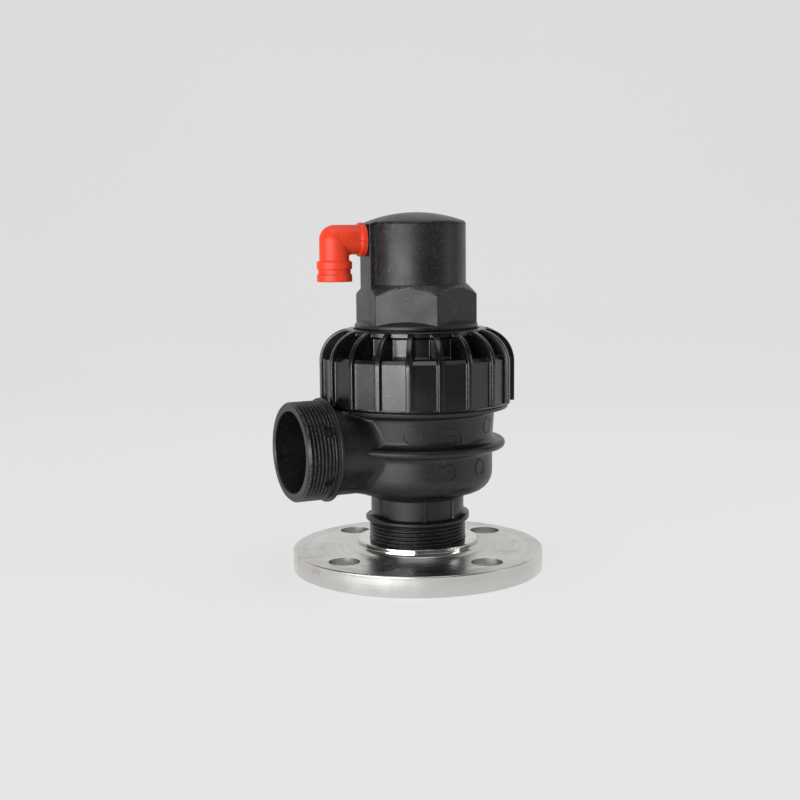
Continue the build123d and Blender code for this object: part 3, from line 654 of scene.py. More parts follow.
def finishes() -> dict[str, bpy.types.Material]:
    """Builds every finish once.

    Returns:
        Materials by their names, which are the record's slots.
    """
    made = [
        TurnedSteel("stainless_steel", polished=(37.4, 12.8)),
        Moulding(
            "body_plastic", (0.0065, 0.0065, 0.0078), (0.15, 0.15, 0.16), roughness=0.40, swing=0.07,
            grain=0.7, grain_depth=0.03, scratches=0.35, dust=0.5, specular=0.47, mottle=0.06,
        ),
        Moulding(
            "nut_plastic", (0.0042, 0.0042, 0.0056), (0.13, 0.13, 0.145), roughness=0.26, swing=0.05,
            grain=1.1, grain_depth=0.024, scratches=0.3, dust=0.35, specular=0.60, mottle=0.04,
        ),
        Moulding(
            "cap_plastic", (0.0085, 0.0085, 0.0102), (0.24, 0.24, 0.255), roughness=0.41, swing=0.05,
            grain=0.5, grain_depth=0.035, scratches=0.8, dust=0.35, specular=0.46, mottle=0.08,
        ),
        Moulding(
            "elbow_plastic", (0.94, 0.055, 0.014), (0.95, 0.3, 0.2), roughness=0.42, swing=0.05,
            grain=0.5, grain_depth=0.012, scratches=0.0, dust=0.0, specular=0.38, mottle=0.02,
        ),
        Moulding(
            "inner_plastic", (0.06, 0.06, 0.065), (0.2, 0.2, 0.2), roughness=0.5, swing=0.06,
            grain=0.5, grain_depth=0.02, scratches=0.1, dust=0.1,
        ),
        Moulding(
            "float_plastic", (0.64, 0.62, 0.55), (0.7, 0.69, 0.64), roughness=0.6, swing=0.05,
            grain=1.2, grain_depth=0.05, scratches=0.1, dust=0.1,
        ),
        Moulding(
            "washer_plastic", (0.55, 0.53, 0.48), (0.6, 0.59, 0.55), roughness=0.4, swing=0.06,
            grain=0.6, grain_depth=0.01, scratches=0.2, dust=0.1,
        ),
        Moulding(
            "seal_rubber", (0.018, 0.018, 0.018), (0.07, 0.07, 0.07), roughness=0.62, swing=0.06,
            grain=0.3, grain_depth=0.015, scratches=0.0, dust=0.2,
        ),
        TurnedSteel("screw_steel", rings=0.08),
    ]
    return {finish.name: finish.build() for finish in made}


# Sub-assemblies


@dataclass
class ValveBody:
    """Moulded body: threaded stub, neck, bowl with its bead, lip, rim and the side outlet.

    Attributes:
        thread: The thread on the stub and on the outlet.
        nut_thread: The coarse thread on the rim, which the union nut climbs.
        stub_start: Lowest height of the stub.
        chamfer: Chamfer at the free end of stub and outlet.
        thread_start: Height where the thread comes out of the flange.
        collar_bottom: Lower face of the collar above the thread.
        collar_top: Upper face of that collar.
        collar_radius: Radius of that collar.
        collar_dip: How much lower the collar's top is under the panels.
        neck_top: Height where the bowl's floor starts.
        neck_radius: Radius of the short neck.
        panels: First and last angle of each sunken panel in the neck, in degrees.
        panel_depth: How deep a panel is sunk.
        floor_slope: Slope of the bowl's underside in degrees.
        bowl_radius: Radius of the bowl at its foot and at its top.
        bead_radius: Radius of the bead round the bowl.
        bead_half: Half the height of that bead.
        lip_foot: Height where the bowl flares out to the lip.
        lip_radius: Radius of the lip.
        lip_top: Top of the flared lip.
        rim_radius: Radius of the rim under the nut.
        rim_top: Top of the threaded rim.
        climb: Heights between which the nut's thread runs.
        outlet_neck: Radius of the outlet's neck.
        outlet_flare: How far the neck flares out where it meets the bowl.
        outlet_collar: Distance of the collar behind the outlet's thread.
        outlet_ring: Radius of that collar.
        outlet_groove: Radius of the groove where the thread runs out.
        outlet_end: Distance of the outlet's face.
        notch: Distance of the notches in the thread, half their width, half their length, depth.
        inlet: Radius of the hole in the stub.
        cup: Inner and outer radius and top of the cup in which the float stands.
        bore: Radius of the outlet's hole at its inner end and behind its mouth.
        mark_radius: Radius of the bowl where the marks stand.
        mark_line: Half the width and the height of a mark's line.
        rings: Angle, height and radius of each raised ring.
        arrow_place: Angle and height of the arrow.
        arrow: Corners of the arrow, sideways and up.
    """

    thread: Thread = field(default_factory=Thread)
    nut_thread: Thread = field(default_factory=lambda: Thread(crest=53.4, pitch=4.0, depth=1.5))
    stub_start: float = 3.0
    chamfer: float = 1.2
    thread_start: float = 17.5
    collar_bottom: float = 30.5
    collar_top: float = 35.0
    collar_radius: float = 32.1
    collar_dip: float = 2.1
    neck_top: float = 46.0
    neck_radius: float = 28.7
    panels: tuple = ((-171.5, -111.0), (-105.5, -66.5), (66.5, 105.5), (111.0, 149.0))
    panel_depth: float = 1.4
    floor_slope: float = 19.0
    bowl_radius: tuple[float, float] = (46.5, 47.7)
    bead_radius: float = 54.3
    bead_half: float = 2.5
    lip_foot: float = 98.2
    lip_radius: float = 56.3
    lip_top: float = 102.8
    rim_radius: float = 53.4
    rim_top: float = 123.5
    climb: tuple[float, float] = (104.0, 121.5)
    outlet_neck: float = 28.0
    outlet_flare: float = 3.2
    outlet_collar: float = 62.5
    outlet_ring: float = 31.2
    outlet_groove: float = 28.4
    outlet_end: float = 84.5
    notch: tuple[float, float, float, float] = (69.95, 3.6, 2.6, 3.1)
    inlet: float = 24.0
    cup: tuple[float, float, float] = (27.0, 30.5, 97.0)
    bore: tuple[float, float] = (22.0, 24.5)
    mark_radius: float = 47.0
    mark_line: tuple[float, float] = (0.34, 0.10)
    rings: tuple = ((-120.5, 89.4, 5.6), (-53.5, 91.5, 5.0), (-62.7, 66.8, 4.6), (-93.0, 66.0, 4.6))
    arrow_place: tuple[float, float] = (-98.0, 89.6)
    arrow: tuple = (
        (-4.0, 0.0), (1.4, 4.6), (1.4, 2.6), (8.5, 2.6), (12.0, -1.2), (12.0, -8.0), (8.6, -8.0),
        (8.6, -2.6), (7.4, -1.6), (1.4, -1.6), (1.4, -4.0),
    )

    def floor(self, radius: float) -> float:
        """Height of the bowl's sloping underside at a radius."""
        return self.neck_top + (radius - self.neck_radius) * tan(radians(self.floor_slope))

    def bowl_outline(self, bead: bool = True) -> np.ndarray:
        """Outline of the bowl from the collar to the lip.

        Args:
            bead: Whether the bead round the bowl is drawn.

        Returns:
            Array of radius and height.
        """
        foot, top = self.bowl_radius
        low, high = OUTLET_HEIGHT - self.bead_half, OUTLET_HEIGHT + self.bead_half
        corners = [
            (self.neck_radius + 0.5, self.collar_bottom),
            (self.collar_radius, self.collar_bottom, 1.1),
            (self.collar_radius, self.collar_top, 1.1),
            (self.neck_radius, self.collar_top, 0.5),
            (self.neck_radius, self.neck_top, 1.2),
            (foot, self.floor(foot), 12.0),
        ]
        if bead:
            corners += [
                (foot, low, 3.4),
                (self.bead_radius, low, 2.3),
                (self.bead_radius, high, 2.3),
                (foot + 0.2, high, 3.4),
            ]
        corners += [
            (top, self.lip_foot, 1.8),
            (self.lip_radius - 0.3, self.lip_top - 2.2, 0.5),
            (self.lip_radius, self.lip_top, 0.3),
            (self.rim_radius, self.lip_top),
        ]
        return outline(corners)

    def bowl_at(self, height: np.ndarray) -> np.ndarray:
        """Radius of the bowl, without its bead, at some heights."""
        bowl = self.bowl_outline(bead=False)
        order = np.argsort(bowl[:, 1])
        return np.interp(height, bowl[order, 1], bowl[order, 0])

    def outside(self, columns: int = 220) -> list[Surface]:
        """Outer form as a solid: the foot, the threaded band of the stub, and the rest turned.

        The radius is the outline's less the sunken panels, and the collar's top dips under them.
        """
        edges = np.radians(self.panels).ravel()[:, None]
        angle = round_angles(columns, (edges + np.radians([-0.9, -0.45, 0.0, 0.45, 0.9])).ravel())
        low, high, crest = self.thread_start, self.collar_bottom - 0.1, self.thread.crest
        climb_low, climb_high = self.climb
        foot = outline(
            [
                (0, self.stub_start),
                (crest - self.chamfer, self.stub_start),
                (crest, self.stub_start + self.chamfer),
                (crest, low),
            ]
        )
        bowl = resample(self.bowl_outline(), 1.0)
        above = np.vstack([[(crest, high)], bowl, [(self.rim_radius, climb_low)]])
        rim = [(self.rim_radius, climb_high), (self.rim_radius, self.rim_top, 0.6), (0, self.rim_top)]
        radii, heights = above[:, :1], above[:, 1:] + 0 * angle
        sunk = self.panel_depth * self.panel_share(heights, angle)
        radii = radii - sunk * (radii < self.neck_radius + 0.1)
        heights = heights - self.collar_drop(heights, angle)
        return [
            Surface(turned(foot, angle), start=End.POLE),
            self.threaded(self.thread, low, high, angle),
            Surface(place(radii, angle, heights)),
            self.threaded(self.nut_thread, climb_low, climb_high, angle),
            Surface(turned(outline(rim), angle), end=End.POLE),
        ]

    def threaded(self, thread: Thread, low: float, high: float, angle: np.ndarray) -> Surface:
        """Threaded band round the axis: the crest's radius less the groove, with wear and a painted
        highlight on the crests.

        Args:
            thread: The thread.
            low: Height where it starts.
            high: Height where it ends.
            angle: Angles round the axis in radians.

        Returns:
            The band, whose first and last rows are plain circles.
        """
        rise, groove = thread.band(low, high, angle)
        points = place(thread.crest - groove, angle, rise)
        # Crests lightened with wear and a painted highlight.
        return Surface(points, lightening=thread.lightened(groove), climb=thread.climb)

    def panel_share(self, heights: np.ndarray, angle: np.ndarray) -> np.ndarray:
        """Share of the sunken panels: 1 inside their angles and heights, with eased edges."""
        sunk = np.zeros_like(heights)
        for start, end in self.panels:
            middle, half = radians((start + end) / 2), radians((end - start) / 2)
            turn = np.abs(turn_from(angle, middle))
            sunk = np.maximum(sunk, 1 - step((turn - half) * self.neck_radius, -0.45, 0.45))
        upright = step(heights, self.collar_top + 0.02, self.collar_top + 0.5)
        return sunk * upright * (1 - step(heights, self.neck_top - 0.9, self.neck_top - 0.1))

    def collar_drop(self, heights: np.ndarray, angle: np.ndarray) -> np.ndarray:
        """How far a point of the collar and the neck is lowered.

        The full dip reigns under the panels and eases out towards both ends of the flow axis.
        It grows from the collar's lower edge to its top, and fades to nothing at the neck's top.
        """
        turn = np.abs(np.degrees(turn_from(angle)))
        dip = self.collar_dip * (1 - step(turn, 146.0, 178.0)) * step(turn, 44.5, 66.5)
        rise = np.clip((heights - self.collar_bottom) / (self.collar_top - self.collar_bottom), 0, 1)
        fall = np.clip((self.neck_top - heights) / (self.neck_top - self.collar_top), 0, 1)
        return dip * rise * fall

    def bowl_reach(self, radius: float, angle: np.ndarray) -> np.ndarray:
        """Distance along the outlet at which a line beside its axis meets the bowl.

        The line stands off by radius x sine sideways and radius x cosine in height; it meets
        the bowl where the root of (bowl radius squared less the sideways offset squared) is,
        and never nearer than 30 mm.
        """
        across = radius * np.sin(angle)
        at = self.bowl_at(OUTLET_HEIGHT + radius * np.cos(angle))
        return np.sqrt(np.maximum(at**2 - across**2, 30.0**2))

    def flare(self, angle: np.ndarray) -> tuple[np.ndarray, np.ndarray]:
        """Rows of the outlet's neck near the bowl.

        The neck flares along a curve with three control points, on the bowl, where neck and
        bowl would meet, and on the neck. Two rows before it dive under the bowl's skin.

        Args:
            angle: Angles round the outlet's axis in radians.

        Returns:
            Radii and distances along the outlet, each rows x columns.
        """
        flare, neck = self.outlet_flare, self.outlet_neck
        meet = self.bowl_reach(neck, angle)
        on_bowl = self.bowl_reach(neck + flare, angle)
        t = np.linspace(0, 1, 10)[:, None]
        on_curve = (1 - t) ** 2 * (neck + flare) + 2 * t * (1 - t) * (neck + 0.4) + t**2 * neck
        radius = np.vstack([[[0.0]], [[neck - 2]], on_curve]) + 0 * angle
        along = (1 - t) ** 2 * (on_bowl - 1.2) + 2 * t * (1 - t) * (meet + 0.2) + t**2 * (meet + flare)
        return radius, np.vstack([np.full((2, angle.size), 36.0), along])

    def outlet(self, columns: int = 200) -> list[Surface]:
        """Neck, collar, run-out groove and thread of the outlet as a solid along -X.

        The neck's straight rows never fall behind the flare, and no row stands above the lip.
        """
        angle = circle(columns)[None, :]
        neck, collar, crest = self.outlet_neck, self.outlet_collar, self.thread.crest
        ring, groove_foot = self.outlet_ring, self.outlet_groove
        low, high = collar + 4.7, self.outlet_end - 1.5
        tail = resample(outline([(neck, 50.0), (neck, collar - 1.3)]), 2.0)
        end = outline(
            [
                (neck, collar - 1.2),
                (neck + 0.2, collar, 0.6),
                (ring, collar, 0.7),
                (ring, collar + 2.0, 0.7),
                (29.5, collar + 2.0, 0.3),
                (29.5, collar + 3.0, 0.2),
                (groove_foot, collar + 3.0, 0.2),
                (groove_foot, collar + 4.2, 0.3),
                (crest, low),
            ],
            4,
        )
        straight = np.vstack([tail, end])
        radii, lengths = self.flare(angle)
        held, flare_end = slice(len(lengths), len(lengths) + 6), lengths[-1:]
        radii = np.vstack([radii, straight[:, :1] + 0 * angle])
        lengths = np.vstack([lengths, straight[:, 1:] + 0 * angle])
        lengths[held] = np.maximum(lengths[held], flare_end + np.arange(6)[:, None] * 0.05)
        points = toward_outlet(place(radii, angle, lengths))
        roof = (points[..., 2] > self.lip_top) & (lengths < collar - 1.25)
        points[..., 2] = np.where(roof, self.lip_top, points[..., 2])
        mouth = self.outlet_end
        face = outline([(crest, high), (crest - self.chamfer, mouth, 0.5), (20.0, mouth), (0, mouth)])
        reach, groove = self.thread.band(low, high, angle[0], 0.6)
        turns = place(crest - np.maximum(groove, self.notches(reach, angle)), angle, reach)
        return [
            Surface(points, start=End.POLE),
            # Crests lightened with wear and a painted highlight.
            Surface(toward_outlet(turns), lightening=self.thread.lightened(groove), climb=self.thread.climb),
            Surface(toward_outlet(turned(face, angle[0])), end=End.POLE),
        ]

    def notches(self, lengths: np.ndarray, angles: np.ndarray) -> np.ndarray:
        """Depth of the rounded notches cut across the last turns of the thread, near the collar."""
        place_along, half_width, half_length, deepest = self.notch
        depth = np.zeros_like(lengths)
        for middle in (radians(-90 + 31), radians(-90 - 31), radians(90)):
            turn = np.abs(turn_from(angles, middle)) * self.thread.crest
            along = np.abs(lengths - place_along)
            oblong = ((turn / half_width) ** 4 + (along / half_length) ** 4) ** 0.25
            depth = np.maximum(depth, deepest * (1 - step(oblong, 0.9, 1.03)))
        return depth

    def hollow(self) -> list[Surface]:
        """The spaces inside: inlet, chamber and the way round it, and the outlet's bore."""
        low, high = self.stub_start - 1, self.rim_top + 1
        inner, outer, cup_top = self.cup
        room = [
            (0, low),
            (self.inlet, low),
            (self.inlet, 48.9),
            (inner, 48.9),
            (inner, cup_top),
            (outer, cup_top),
            (outer, 49.5),
            (43.0, 54.5, 8.5),
            (44.2, 96.5),
            (48.5, 103.8),
            (48.5, high),
            (0, high),
        ]
        narrow, wide = self.bore
        hole = [
            (0, 37.0),
            (narrow, 37.0),
            (narrow, 52.8),
            (wide, 55.3),
            (wide, 84.0),
            (25.1, 84.6),
            (25.1, 86.0),
            (0, 86.0),
        ]
        return [
            Surface(turned(outline(room), round_angles(160)), start=End.POLE, end=End.POLE),
            Surface(toward_outlet(turned(outline(hole), round_angles(160))), start=End.POLE, end=End.POLE),
        ]

    def bead_noses(self) -> list[Surface]:
        """Rounded noses where the bead runs out on the outlet's neck.

        Each is half an ellipsoid, long beside the neck, whose round section is the bead's.
        """
        noses = []
        up, turn = np.linspace(0, pi, 14)[:, None], circle(24)
        for side in (-1, 1):
            x = -(42.0 + 7.0 * np.cos(up))
            y = side * (26.9 + 1.6 * np.sin(up) * np.cos(turn) * side)
            z = OUTLET_HEIGHT + 2.4 * np.sin(up) * np.sin(turn)
            points = np.stack(np.broadcast_arrays(x, y, z), axis=-1)
            noses.append(Surface(points[::-1], start=End.POLE, end=End.POLE))
        return noses

    def marks(self) -> list[Surface]:
        """Plain raised rings and a bent flow arrow on the bowl, a tenth of a millimetre high."""
        turn = circle(48)
        drawn = [
            (middle, height, np.stack([size * np.cos(turn), size * np.sin(turn)], 1))
            for middle, height, size in self.rings
        ]
        arrow = resample(np.array([*self.arrow, self.arrow[0]]), 0.5)[:-1]
        drawn.append((*self.arrow_place, arrow))
        return [
            self.bead_line(
                np.stack([middle + np.degrees(line[:, 0] / self.mark_radius), height + line[:, 1]], 1)
            )
            for middle, height, line in drawn
        ]

    def bead_line(self, line: np.ndarray) -> Surface:
        """A low rounded line that follows the bowl's skin along angles and heights."""
        ahead = np.roll(line, -1, 0) - np.roll(line, 1, 0)
        ahead = np.stack([np.radians(ahead[:, 0]) * self.mark_radius, ahead[:, 1]], 1)
        ahead = ahead / np.linalg.norm(ahead, axis=1, keepdims=True)
        half_width, rise = self.mark_line
        sideways, lift = half_width * np.cos(circle(8)), rise * np.sin(circle(8))
        angle = np.radians(line[:, :1]) + ahead[:, 1:] * sideways / self.mark_radius
        height = line[:, 1:] - ahead[:, :1] * sideways
        return Surface(place(self.bowl_at(height) + lift, angle, height), loop=True)

    def build(self, skin: bpy.types.Material) -> list[bpy.types.Object]:
        """Builds the body with its marks and puts it in place of the plain one.

        Args:
            skin: The body's finish.

        Returns:
            The pieces.
        """
        mesh = combine(mesh_of("body", self.outside()), mesh_of("outlet", self.outlet()), Cut.JOIN)
        mesh = combine(mesh, mesh_of("noses", self.bead_noses()), Cut.JOIN)
        for space in self.hollow():
            mesh = combine(mesh, mesh_of("space", [space]), Cut.TAKE_AWAY)
        body = part("moulded_body", mesh, skin)
        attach(body, "valve")
        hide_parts("valve_body")
        marks = part("moulded_marks", mesh_of("marks", self.marks()), skin)
        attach(marks, "valve")
        return [body, marks]


@dataclass
class UnionNut:
    """Ribbed union nut with arched ribs over a deep shoulder.

    Attributes:
        bottom: Lowest height.
        top: Highest height.
        bore: Radius inside the skirt.
        skirt: Radius of the panels.
        rib: Radius of the ribs.
        shoulder: Height of the shoulder.
        ceiling: Height of the ceiling inside.
        sleeve: Inner and outer radius of the sleeve.
        ring: Radius of the top ring.
        ring_top: Height where the top ring's edge starts.
        skirt_top: Heights where the arch of a rib starts and where the shoulder's rounding starts.
        ledge: Radii where the flat shoulder starts and ends.
        neck: Heights where the neck over the shoulder starts and ends.
        ring_foot: Height where the top ring starts.
        facet: Radius beyond which the panels are flat.
        ribs: How many ribs.
        rib_width: Thickness of a rib.
        first_rib: Angle of the first rib in degrees.
        arch_foot: Height where a rib's quarter ellipse starts.
        arch: Height of that ellipse.
        arch_turn: How far a rib goes round it, in degrees.
    """

    bottom: float = 103.3
    top: float = 148.9
    bore: float = 54.0
    skirt: float = 57.5
    rib: float = 60.0
    shoulder: float = 133.3
    ceiling: float = 129.2
    sleeve: tuple[float, float] = (38.6, 41.0)
    ring: float = 43.0
    ring_top: float = 147.9
    skirt_top: tuple[float, float] = (128.0, 131.3)
    ledge: tuple[float, float] = (55.5, 42.2)
    neck: tuple[float, float] = (134.5, 144.5)
    ring_foot: float = 145.9
    facet: float = 54.8
    ribs: int = 20
    rib_width: float = 3.2
    first_rib: float = 4.5
    arch_foot: float = 128.4
    arch: float = 20.5
    arch_turn: float = 81.0

    def outlines(self) -> tuple[np.ndarray, np.ndarray]:
        """Outline of a panel and of a rib, point for point from the bottom to the top ring.

        Returns:
            Two arrays of radius and height of one length.
        """
        skirt, foot, sleeve = self.skirt, self.bottom + 1.2, self.sleeve[1]
        stops = [
            (skirt - 1.0, self.bottom, 4, Run.SAME),
            (skirt, self.bottom + 0.9, 2, Run.SAME),
            (skirt, foot, 5, Run.STEP),
            (skirt, foot + 0.5, 18, Run.FACE),
            (skirt, self.skirt_top[0], 6, Run.ARCH),
            (skirt, self.skirt_top[1], 5, Run.ARCH),
            (self.ledge[0], self.shoulder, 16, Run.ARCH),
            (self.ledge[1], self.shoulder, 4, Run.ARCH),
            (sleeve, self.neck[0], 14, Run.ARCH),
            (sleeve, self.neck[1], 4, Run.ARCH),
            (self.ring, self.ring_foot, 4, Run.ARCH),
            (self.ring, self.ring_top, 0, Run.SAME),
        ]
        inner = (self.sleeve[0] + self.sleeve[1]) / 2
        arches = sum(count for *_, count, kind in stops if kind is Run.ARCH)
        panel, rib, passed = [], [], 0
        for (*start, count, kind), (*end, _, _) in zip(stops, stops[1:]):
            share = np.arange(count) / count
            run = np.array(start) + share[:, None] * (np.array(end) - np.array(start))
            panel.append(run)
            if kind is Run.STEP:
                run = np.stack([skirt + (self.rib - skirt) * share, foot + 0.02 * share], axis=1)
            elif kind is Run.FACE:
                height = foot + 0.1 + share * (self.arch_foot - foot - 0.1)
                run = np.stack([np.full(count, self.rib), height], axis=1)
            elif kind is Run.ARCH:
                turn = (passed + np.arange(count)) / arches * radians(self.arch_turn)
                passed += count
                radius = inner + (self.rib - inner) * np.cos(turn)
                run = np.stack([radius, self.arch_foot + self.arch * np.sin(turn)], axis=1)
            rib.append(run)
        return np.vstack(panel), np.vstack(rib)

    def columns(self) -> tuple[np.ndarray, np.ndarray, np.ndarray]:
        """Cross section of one rib and the panel after it.

        Returns:
            Sideways offset from the rib's middle, rise from the panel, and drop from the rib's
            edge. A column whose rise is negative follows the rib's edge, the others the panel.
        """
        half, edge, foot = self.rib_width / 2, 0.55, 0.7
        turn = np.linspace(0, pi / 2, 5)
        crest_side = half - edge + edge * np.sin(turn)
        crest_drop = edge - edge * np.cos(turn)
        root_side = half + foot * (1 - np.cos(turn))
        root_rise = foot * (1 - np.sin(turn))
        side = np.concatenate([[0.0], crest_side, root_side])
        rise = np.concatenate([[-1.0], np.full(5, -1.0), root_rise])
        drop = np.concatenate([[0.0], crest_drop, np.zeros(5)])
        mirrored = slice(None, 0, -1)
        return (
            np.concatenate([-side[mirrored], side]),
            np.concatenate([rise[mirrored], rise]),
            np.concatenate([drop[mirrored], drop]),
        )

    def skin(self) -> Surface:
        """Whole nut as one ring-shaped skin.

        Along a row the point goes from panel to rib: near the panel by a rise in millimetres
        towards the rib, near the rib's edge by a drop from it. Sideways it stands off from the
        rib's middle by a distance, so its angle is the rib's plus the arcsine of distance over
        radius. Panels between ribs are flat facets: their radius is the edge's times the cosine
        of the half width over the cosine from the middle. The inside is turned.
        """
        panel, rib = self.outlines()
        side, rise, drop = self.columns()
        gap = rib - panel
        length = np.linalg.norm(gap, axis=1)[:, None]
        toward = gap / np.maximum(length, 1e-6)
        from_edge, from_panel = np.maximum(length - drop, 0.55 * length), np.minimum(rise, 0.45 * length)
        away = np.where(rise < 0, from_edge, from_panel)
        radius, height = panel[:, :1] + toward[:, :1] * away, panel[:, 1:] + toward[:, 1:] * away
        angle = np.arcsin(np.clip(side / radius, -1, 1))
        pitch = 2 * pi / self.ribs
        flat = np.linspace(0, 1, 8)[1:-1]
        start, end = angle[:, -1:], pitch + angle[:, :1]
        across = start + (end - start) * flat
        middle, half = (start + end) / 2, (end - start) / 2
        straight = np.cos(half) / np.cos(across - middle)
        facet = (panel[:, :1] > self.facet) & (panel[:, 1:] > self.bottom + 1.6)
        radius = np.hstack([radius, panel[:, :1] * np.where(facet, straight, 1.0)])
        height = np.hstack([height, panel[:, 1:] + 0 * flat])
        angle = np.hstack([angle, across])
        inside = self.inside()
        steady = np.linspace(angle[0, 0], angle[0, 0] + pitch, angle.shape[1], endpoint=False)[None, :]
        mix = step(np.arange(len(inside)), 0, 4)[:, None]
        radius = np.vstack([radius, inside[:, :1] + 0 * steady])
        height = np.vstack([height, inside[:, 1:] + 0 * steady])
        angle = np.vstack([angle, angle[-1:] * (1 - mix) + steady * mix])
        turns = radians(self.first_rib) + pitch * np.arange(self.ribs)
        points = np.concatenate([place(radius, angle + turn, height) for turn in turns], axis=1)
        rubbed = np.append(np.where((drop > 0.02) & (drop < 0.4), 0.04, 0.0), np.zeros(len(flat)))
        on_panel = np.arange(len(radius))[:, None] < len(panel)
        return Surface(points, loop=True, lightening=np.tile(rubbed * on_panel, (1, self.ribs)))

    def inside(self) -> np.ndarray:
        """Outline from the top ring over the sleeve and the ceiling down to the skirt's foot."""
        corners = [
            (self.ring, self.ring_top),
            (self.ring, self.top, 0.9),
            (self.sleeve[0], self.top, 0.5),
            (self.sleeve[0], self.ceiling, 0.4),
            (self.bore, self.ceiling, 0.4),
            (self.bore, self.bottom, 0.4),
            (self.skirt - 1.0, self.bottom),
        ]
        return outline(corners, 4)[1:-1]

    def build(self, skin: bpy.types.Material) -> bpy.types.Object:
        """Builds the nut and puts it in place of the plain one."""
        nut = part("ribbed_nut", mesh_of("nut", [self.skin()], 38.0), skin)
        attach(nut, "nut")
        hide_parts("union_nut")
        return nut


@dataclass
class Cap:
    """Cap of the automatic valve: collar, hexagon, barrel, dome and the boss for the elbow.

    Attributes:
        bottom: Lowest height.
        top: Highest height, at the middle of the dome.
        barrel: Radius of the barrel.
        flat: Distance of the hexagon's flats and the boss's face.
        hex_height: Height of the hexagon's corners.
        collar_height: Height of the plain collar under the hexagon.
        wall_top: Height where the dome's edge starts.
        dome: Radius of the dome's curve.
        boss_width: Width of the boss.
        edge: Rounding of the dome's edge.
        room: Radius of the room inside, radius of the seat under it, and height of the ledge between.
    """

    bottom: float = 149.4
    top: float = 219.0
    barrel: float = 30.6
    flat: float = 32.5
    hex_height: float = 20.0
    collar_height: float = 2.2
    wall_top: float = 212.0
    dome: float = 84.0
    boss_width: float = 19.0
    edge: float = 2.2
    room: tuple[float, float, float] = (27.6, 29.45, 164.8)

    def angles(self) -> np.ndarray:
        """Angles round the axis, closer together at the hexagon's corners and the boss's sides."""
        spots = [(30 + 60 * side, 1.6, 9) for side in range(6)] + [(-17.0, 2.6, 17), (17.0, 2.6, 17)]
        close = [np.linspace(middle - half, middle + half, count) for middle, half, count in spots]
        return round_angles(360, np.radians(np.concatenate(close)))

    def plan(self, angle: np.ndarray) -> np.ndarray:
        """Radius of the barrel with its boss at an angle from the boss's middle.

        The boss is the lesser of its face, flat / cosine, and its sides, half its width / sine,
        with the edge between them bevelled; the barrel and the boss meet at the greater.
        """
        turn = turn_from(angle)
        face = np.where(np.abs(turn) < 1.2, self.flat / np.maximum(np.cos(turn), 0.3), 0.0)
        sides = self.boss_width / 2 / np.maximum(np.abs(np.sin(turn)), 0.02)
        boss = np.where(np.abs(turn) < 1.2, soft_min(face, sides, 1.6), 0.0)
        return soft_max(boss, self.barrel, 0.5)

    def hexagon(self, angle: np.ndarray) -> np.ndarray:
        """Radius of the hexagon, flat / cosine of the angle to the nearest flat's middle."""
        turn = np.mod(angle + pi / 6, pi / 3) - pi / 6
        return soft_min(self.flat / np.cos(turn), self.flat / cos(pi / 6) - 0.12, 0.25)

    def outside(self) -> tuple[np.ndarray, np.ndarray, np.ndarray, np.ndarray]:
        """Outer skin from the bottom edge up to the dome's middle.

        At each height the radius is the greatest of barrel with boss, hexagon under its
        45 degree chamfer, and collar, which tapers into the hexagon; the dome's edge is an arc
        inside wall and dome.

        Returns:
            Radius, angle, height and wear; the angle is one row, the others rows x columns.
        """
        angle = self.angles()[None, :]
        plan, hexagon = self.plan(angle), self.hexagon(angle)
        corner = self.flat / cos(pi / 6)
        collar_top = self.bottom + self.collar_height
        stops = [
            (self.bottom + 0.2, 26),
            (collar_top + 3.2, 12),
            (self.bottom + 19, 60),
            (self.bottom + 27.2, 22),
            (self.wall_top, 0),
        ]
        runs = [np.linspace(low, high, count) for (low, count), (high, _) in zip(stops, stops[1:])]
        wall = np.unique(np.round(np.concatenate(runs), 4))[:, None]
        chamfer = corner + self.bottom + self.hex_height - wall
        hexed = np.where(wall > self.bottom + 26.4, 0.0, soft_min(hexagon, chamfer, 0.3))
        brim, flare_foot, flare_rise = corner + 0.1, self.flat - 0.1, 2.8
        flare = brim - (wall - collar_top) * (brim - flare_foot) / flare_rise
        collar = np.where(wall < collar_top, brim, np.where(wall < collar_top + flare_rise, flare, 0.0))
        collar = collar - 0.25 * (1 - step(wall, self.bottom + 0.2, self.bottom + 0.5))
        radius = soft_max(np.maximum(hexed, collar), plan, 0.35)
        lightened = 0.4 * (1 - step(np.abs(chamfer - hexagon), 0.1, 1.1))
        lightening = lightened * (hexagon < corner - 0.8) * (wall < self.bottom + 26)
        centre = self.top - self.dome
        pivot = radius[-1:] - self.edge
        pivot_height = centre + np.sqrt((self.dome - self.edge) ** 2 - pivot**2)
        last = pi / 2 - np.arcsin(pivot / (self.dome - self.edge))
        share = np.linspace(0, 1, 9)[:, None]
        arc_radius = pivot + self.edge * np.cos(share * last)
        arc_height = pivot_height + self.edge * np.sin(share * last)
        shrink = np.linspace(1, 0, 26)[1:, None]
        dome_radius = arc_radius[-1:] * shrink
        dome_height = centre + np.sqrt(self.dome**2 - dome_radius**2)
        radius = np.vstack([radius, arc_radius, dome_radius])
        height = np.vstack([wall + 0 * angle, arc_height, dome_height])
        blank = np.zeros((len(arc_radius) + len(dome_radius), angle.size))
        return radius, angle, height, np.vstack([lightening, blank])

    def skin(self) -> Surface:
        """Whole cap as one skin with a pole in the dome and one in the roof inside."""
        radius, angle, height, lightening = self.outside()
        room, seat, ledge = self.room
        corners = [
            (0, 214.5),
            (room, 209.0, 2.0),
            (room, ledge),
            (seat, ledge),
            (seat, self.bottom),
            (37.2, self.bottom),
        ]
        inside = outline(corners, 4)
        radius = np.vstack([inside[:, :1] + 0 * angle, radius])
        height = np.vstack([inside[:, 1:] + 0 * angle, height])
        lightening = np.vstack([np.zeros((len(inside), angle.size)), lightening])
        return Surface(toward_drain(place(radius, angle, height)), start=End.POLE, end=End.POLE, lightening=lightening)

